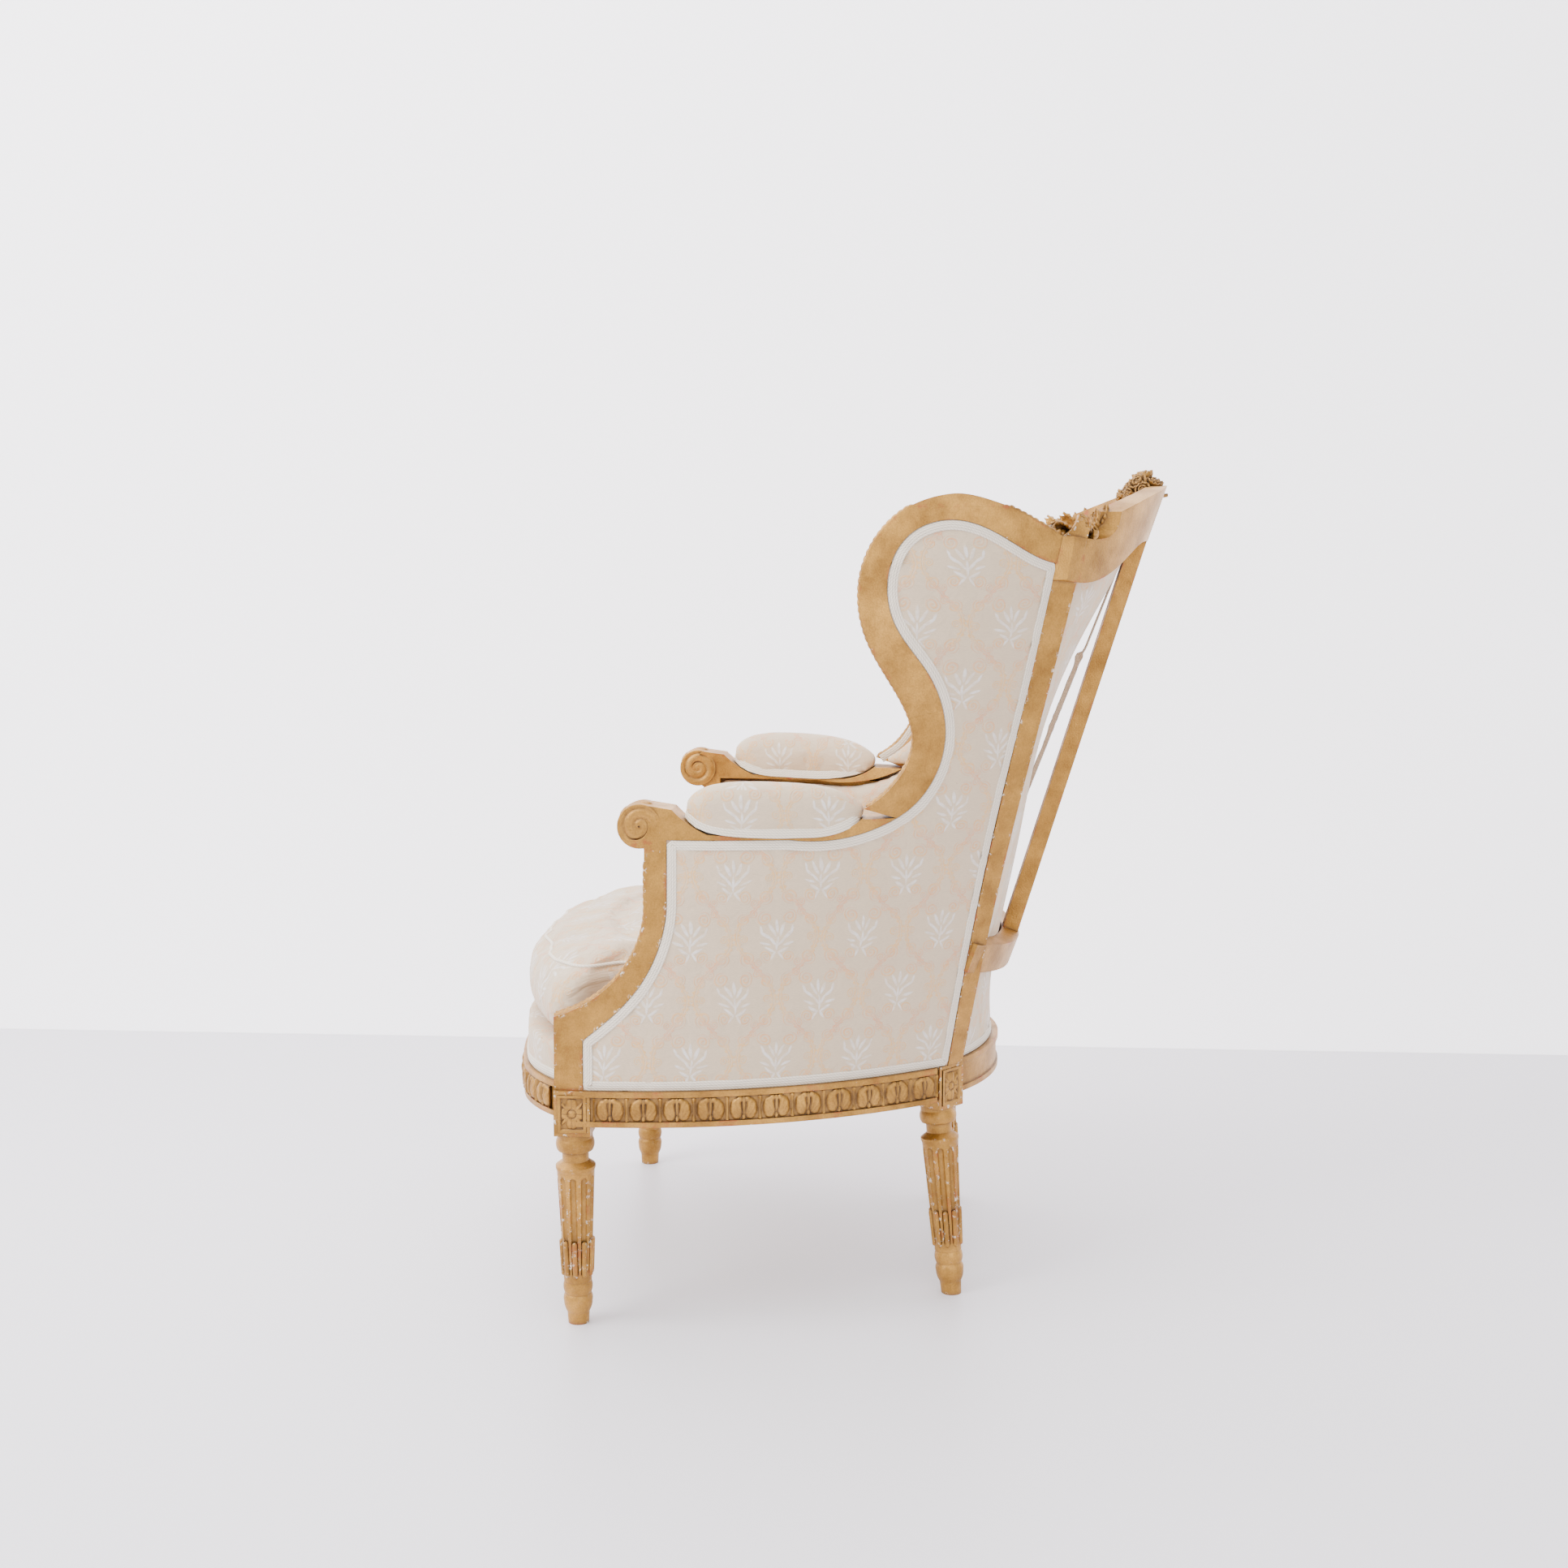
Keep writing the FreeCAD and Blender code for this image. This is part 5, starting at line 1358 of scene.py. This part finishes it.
class BERGERE_OT_rosettes(bpy.types.Operator):
    """Carves a rosette in the panel of each leg block"""

    bl_idname = "bergere.rosettes"
    bl_label = "Carve the rosettes"

    width: length_property("Width", "Width of the carved panel", 0.034)
    height: length_property("Height", "Height of the carved panel", 0.045)
    depth: length_property("Depth", "Height of the petals", 0.0034)

    def execute(self, context):
        gold = bpy.data.materials["water_gilded_carving"]
        made = []
        for side, sign in SIDES.items():
            tree = tree_of("front_leg_" + side)
            centre = Vector((sign * 0.3285, -0.299, 0.264))
            made.append(self.panel(tree, centre, Vector((sign, 0, 0))))
            made.append(self.panel(tree, centre, Vector((0, -1, 0))))
            tree = tree_of("rear_leg_and_stile_" + side)
            turn = math.radians(50)
            centre = Vector((sign * 0.178, 0.1285, 0.264))
            made.append(self.panel(tree, centre, Vector((sign * math.cos(turn), math.sin(turn), 0))))
        settle(join_pieces("block_rosettes", made), gold)
        return {"FINISHED"}

    def panel(self, tree, centre, out):
        across = UP.cross(out)
        # The floor of the sunk panel, found beside its middle
        probe = centre + across * (self.width / 2 - 0.002) + UP * (self.height / 2 - 0.004) + out * 0.1
        hit = tree.ray_cast(probe, -out)[0]
        floor = (hit - centre).dot(out)
        return panel_relief("rosette", centre + out * floor, across, UP, out, self.width, self.height,
                            rosette(self.width, self.height, self.depth), 0.0007)


class BERGERE_OT_rope_moulding(bpy.types.Operator):
    """Carves the rope moulding along the wings and the arm supports"""

    bl_idname = "bergere.rope_moulding"
    bl_label = "Carve the rope mouldings"

    depth: length_property("Depth", "Height of the rope", 0.0032)

    def execute(self, context):
        gilding = context.scene.bergere_gilding
        gold = bpy.data.materials["water_gilded_carving"]
        for side, sign in SIDES.items():
            strips = []
            for points, names in ((WING_EDGE, ("wing_frame_" + side, "wing_foot_" + side)),
                                  (POST_EDGE, ("arm_support_" + side,))):
                for inset in (0.009, 0.0195):
                    spots, outs = edge_line(points, sign, inset, 0.0011, names)
                    if len(spots) < 20:
                        continue
                    ups = [w.cross(o).normalized() for w, o in zip(tangents(spots), outs)]
                    strips.append(relief("rope", spots, outs, ups, gilding.bead_width,
                                         rope(gilding.bead_pitch, self.depth), 0.0009, -0.0004))
            settle(join_pieces("rope_moulding_" + side, strips), gold)
        return {"FINISHED"}


class BERGERE_OT_crest_carving(bpy.types.Operator):
    """Carves the garland, the corner leaves and the bunch of roses on the crest rail"""

    bl_idname = "bergere.crest_carving"
    bl_label = "Carve the crest"

    def execute(self, context):
        gold = bpy.data.materials["water_gilded_carving"]
        tree = tree_of("crest_rail")
        # Leaf garland along the top front edge, seen from the front as x
        strips = []
        for sign in (1, -1):
            line = []
            for k in range(150):
                x = sign * (0.045 + 0.125 * k / 149)
                for z in np.linspace(1.0, 0.93, 60):
                    hit, normal, _, _ = tree.ray_cast(Vector((x, 0.1, z)), Vector((0, 1, 0)))
                    if hit is not None and abs(normal.y) > 0.5:
                        break
                if hit is not None:
                    line.append(hit - Vector((0, 0, 0.010)))
            line = even(line, 0.0012)
            outs = [Vector((0, -1, 0.15)).normalized()] * len(line)
            ups = [w.cross(o).normalized() for w, o in zip(tangents(line), outs)]
            strips.append(relief("garland", line, outs, ups, 0.016, leaf_strip(0.017, 0.005), 0.0009,
                                 -0.0003))
        settle(join_pieces("crest_garland", strips), gold)
        # Roses and leaves in place of the plain bunch
        low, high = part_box("crest_bouquet")
        centre = (low + high) / 2
        verts, faces = [], []
        blooms = [(0.0, 0.0, 0.010, 0.0165), (0.017, -0.006, 0.004, 0.0145),
                  (-0.017, -0.006, 0.004, 0.0145), (0.008, -0.016, -0.003, 0.013),
                  (-0.011, -0.016, -0.004, 0.013), (0.032, -0.003, -0.003, 0.0115),
                  (-0.032, -0.003, -0.003, 0.0115), (0.010, 0.010, 0.004, 0.013),
                  (-0.012, 0.010, 0.003, 0.013), (0.0, -0.026, -0.009, 0.0105),
                  (0.021, -0.018, -0.008, 0.010), (-0.023, -0.018, -0.008, 0.010)]
        for x, y, z, radius in blooms:
            spot = centre + Vector((x, y, z - 0.006))
            out = Vector((x * 0.8, y * 1.4 - 0.006, 0.016 + z)).normalized()
            flower(verts, faces, spot, out, radius)
        for k in range(14):
            angle = math.tau * k / 14
            way = Vector((math.cos(angle), 0.55 * math.sin(angle), -0.25)).normalized()
            start = centre + Vector((0.028 * math.cos(angle), 0.014 * math.sin(angle), -0.010))
            petal_mesh(verts, faces, start, way, Vector((0, -0.3, 1)).normalized(), 0.020, 0.014, 0.3,
                       lobes=3)
        roses = new_object("crest_roses", verts, faces)
        thicken(roses, 0.0018)
        settle(roses, gold, replaces=("crest_bouquet",))
        # Lobed leaves over each corner
        verts, faces = [], []
        for sign in (1, -1):
            for x, y, z, way, length, width in CORNER_LEAVES:
                start = Vector((sign * x, y, z))
                way = Vector((sign * way[0], way[1], way[2])).normalized()
                face = Vector((sign * 0.35, -0.8, 0.6))
                face = (face - way * face.dot(way)).normalized()
                petal_mesh(verts, faces, start, way, face, length, width, 0.55, lobes=5, rows=20, columns=8)
        leaves = new_object("corner_leaves", verts, faces)
        thicken(leaves, 0.003)
        settle(leaves, gold)
        return {"FINISHED"}


class BERGERE_OT_scroll_leaves(bpy.types.Operator):
    """Carves a leaf over the front of each arm's scroll"""

    bl_idname = "bergere.scroll_leaves"
    bl_label = "Carve the scroll leaves"

    def execute(self, context):
        gold = bpy.data.materials["water_gilded_carving"]
        for side, sign in SIDES.items():
            outer, inner = scroll_faces(side, sign)
            x = (outer + inner) / 2
            width = abs(outer - inner) * 0.86
            line, outs = [], []
            for k in range(90):
                angle = math.radians(-20 + 200 * k / 89)
                out = Vector((0, -math.cos(angle), math.sin(angle)))
                line.append(Vector((x, SCROLL.x, SCROLL.y)) + out * SCROLL_RADIUS)
                outs.append(out)
            ups = [Vector((1, 0, 0))] * len(line)
            piece = relief("scroll_leaf_" + side, line, outs, ups, width, leaf_strip(0.030, 0.0032), 0.0012,
                           -0.0002)
            settle(piece, gold)
        return {"FINISHED"}


class BERGERE_OT_stage(bpy.types.Operator):
    """Sets the floor, the wall, the lights and the camera"""

    bl_idname = "bergere.stage"
    bl_label = "Set the stage"

    def execute(self, context):
        stage = context.scene.bergere_stage
        half, wall_x = STAGE_HALF, stage.wall_place
        floor = new_object("floor", [(-half, -half, 0), (half, -half, 0), (half, half, 0), (-half, half, 0)],
                           [(0, 1, 2, 3)])
        wall = new_object("wall", [(wall_x, -half, 0), (wall_x, half, 0), (wall_x, half, WALL_HEIGHT),
                                   (wall_x, -half, WALL_HEIGHT)], [(0, 1, 2, 3)])
        for piece, colour, rough, glow, name in ((floor, stage.floor, 0.42, 0.25, "painted_floor"),
                                                 (wall, stage.wall, 0.9, 1.6, "matte_paper")):
            material, tree, shader = new_material(name)
            shader.inputs["Base Color"].default_value = (*colour, 1.0)
            shader.inputs["Roughness"].default_value = rough
            shader.inputs["Emission Color"].default_value = (*colour, 1.0)
            shader.inputs["Emission Strength"].default_value = glow
            piece.data.materials.append(material)
        for name, place, target, width, share in LAMPS:
            data = bpy.data.lights.new(name, "AREA")
            data.size = width
            data.energy = stage.key_power * share
            lamp = placed(name, data)
            lamp.location = place
            lamp.rotation_euler = (Vector(target) - Vector(place)).to_track_quat("-Z", "Y").to_euler()
        world = bpy.data.worlds.new("air")
        world.use_nodes = True
        sky = next(n for n in world.node_tree.nodes if n.type == "BACKGROUND")
        sky.inputs["Color"].default_value = AIR_COLOUR
        sky.inputs["Strength"].default_value = stage.air
        context.scene.world = world
        data = bpy.data.cameras.new("camera")
        data.sensor_width = CAMERA_SENSOR
        data.lens = CAMERA_LENS
        camera = placed("camera", data)
        camera.location = CAMERA_PLACE
        yaw, pitch = math.radians(CAMERA_TURN), math.radians(CAMERA_TILT)
        forward = Vector((-math.cos(yaw) * math.cos(pitch), -math.sin(yaw) * math.cos(pitch),
                          -math.sin(pitch)))
        camera.rotation_euler = forward.to_track_quat("-Z", "Y").to_euler()
        context.scene.camera = camera
        return {"FINISHED"}


class BERGERE_PT_panel(bpy.types.Panel):
    """Colours, sizes and steps of the chair"""

    bl_idname = "BERGERE_PT_panel"
    bl_label = "Bergere Chair"
    bl_space_type = "VIEW_3D"
    bl_region_type = "UI"
    bl_category = "Bergere"

    def draw(self, context):
        layout = self.layout
        for owner in GROUPS:
            group = getattr(context.scene, owner)
            box = layout.box()
            for name in group.bl_rna.properties.keys():
                if name not in ("rna_type", "name"):
                    box.prop(group, name)
        for step in STEPS:
            layout.operator(step.bl_idname)


STEPS = (BERGERE_OT_gilded_frame, BERGERE_OT_wing_tops, BERGERE_OT_scrolls,
         BERGERE_OT_inner_works, BERGERE_OT_outer_covers, BERGERE_OT_inner_pads,
         BERGERE_OT_arm_pads, BERGERE_OT_seat, BERGERE_OT_cushion,
         BERGERE_OT_rail_carving, BERGERE_OT_rosettes, BERGERE_OT_rope_moulding,
         BERGERE_OT_crest_carving, BERGERE_OT_scroll_leaves, BERGERE_OT_stage)
GROUPS = {"bergere_gilding": BERGERE_PG_gilding, "bergere_cloth": BERGERE_PG_cloth,
          "bergere_stage": BERGERE_PG_stage}


def register():
    for group in GROUPS.values():
        bpy.utils.register_class(group)
    for step in STEPS:
        bpy.utils.register_class(step)
    bpy.utils.register_class(BERGERE_PT_panel)
    for name, group in GROUPS.items():
        setattr(bpy.types.Scene, name, PointerProperty(type=group))


def unregister():
    for name in GROUPS:
        delattr(bpy.types.Scene, name)
    bpy.utils.unregister_class(BERGERE_PT_panel)
    for step in reversed(STEPS):
        bpy.utils.unregister_class(step)
    for group in reversed(tuple(GROUPS.values())):
        bpy.utils.unregister_class(group)


def main():
    register()
    for step in STEPS:
        family, name = step.bl_idname.split(".")
        getattr(getattr(bpy.ops, family), name)()


if __name__ == "__main__":
    main()
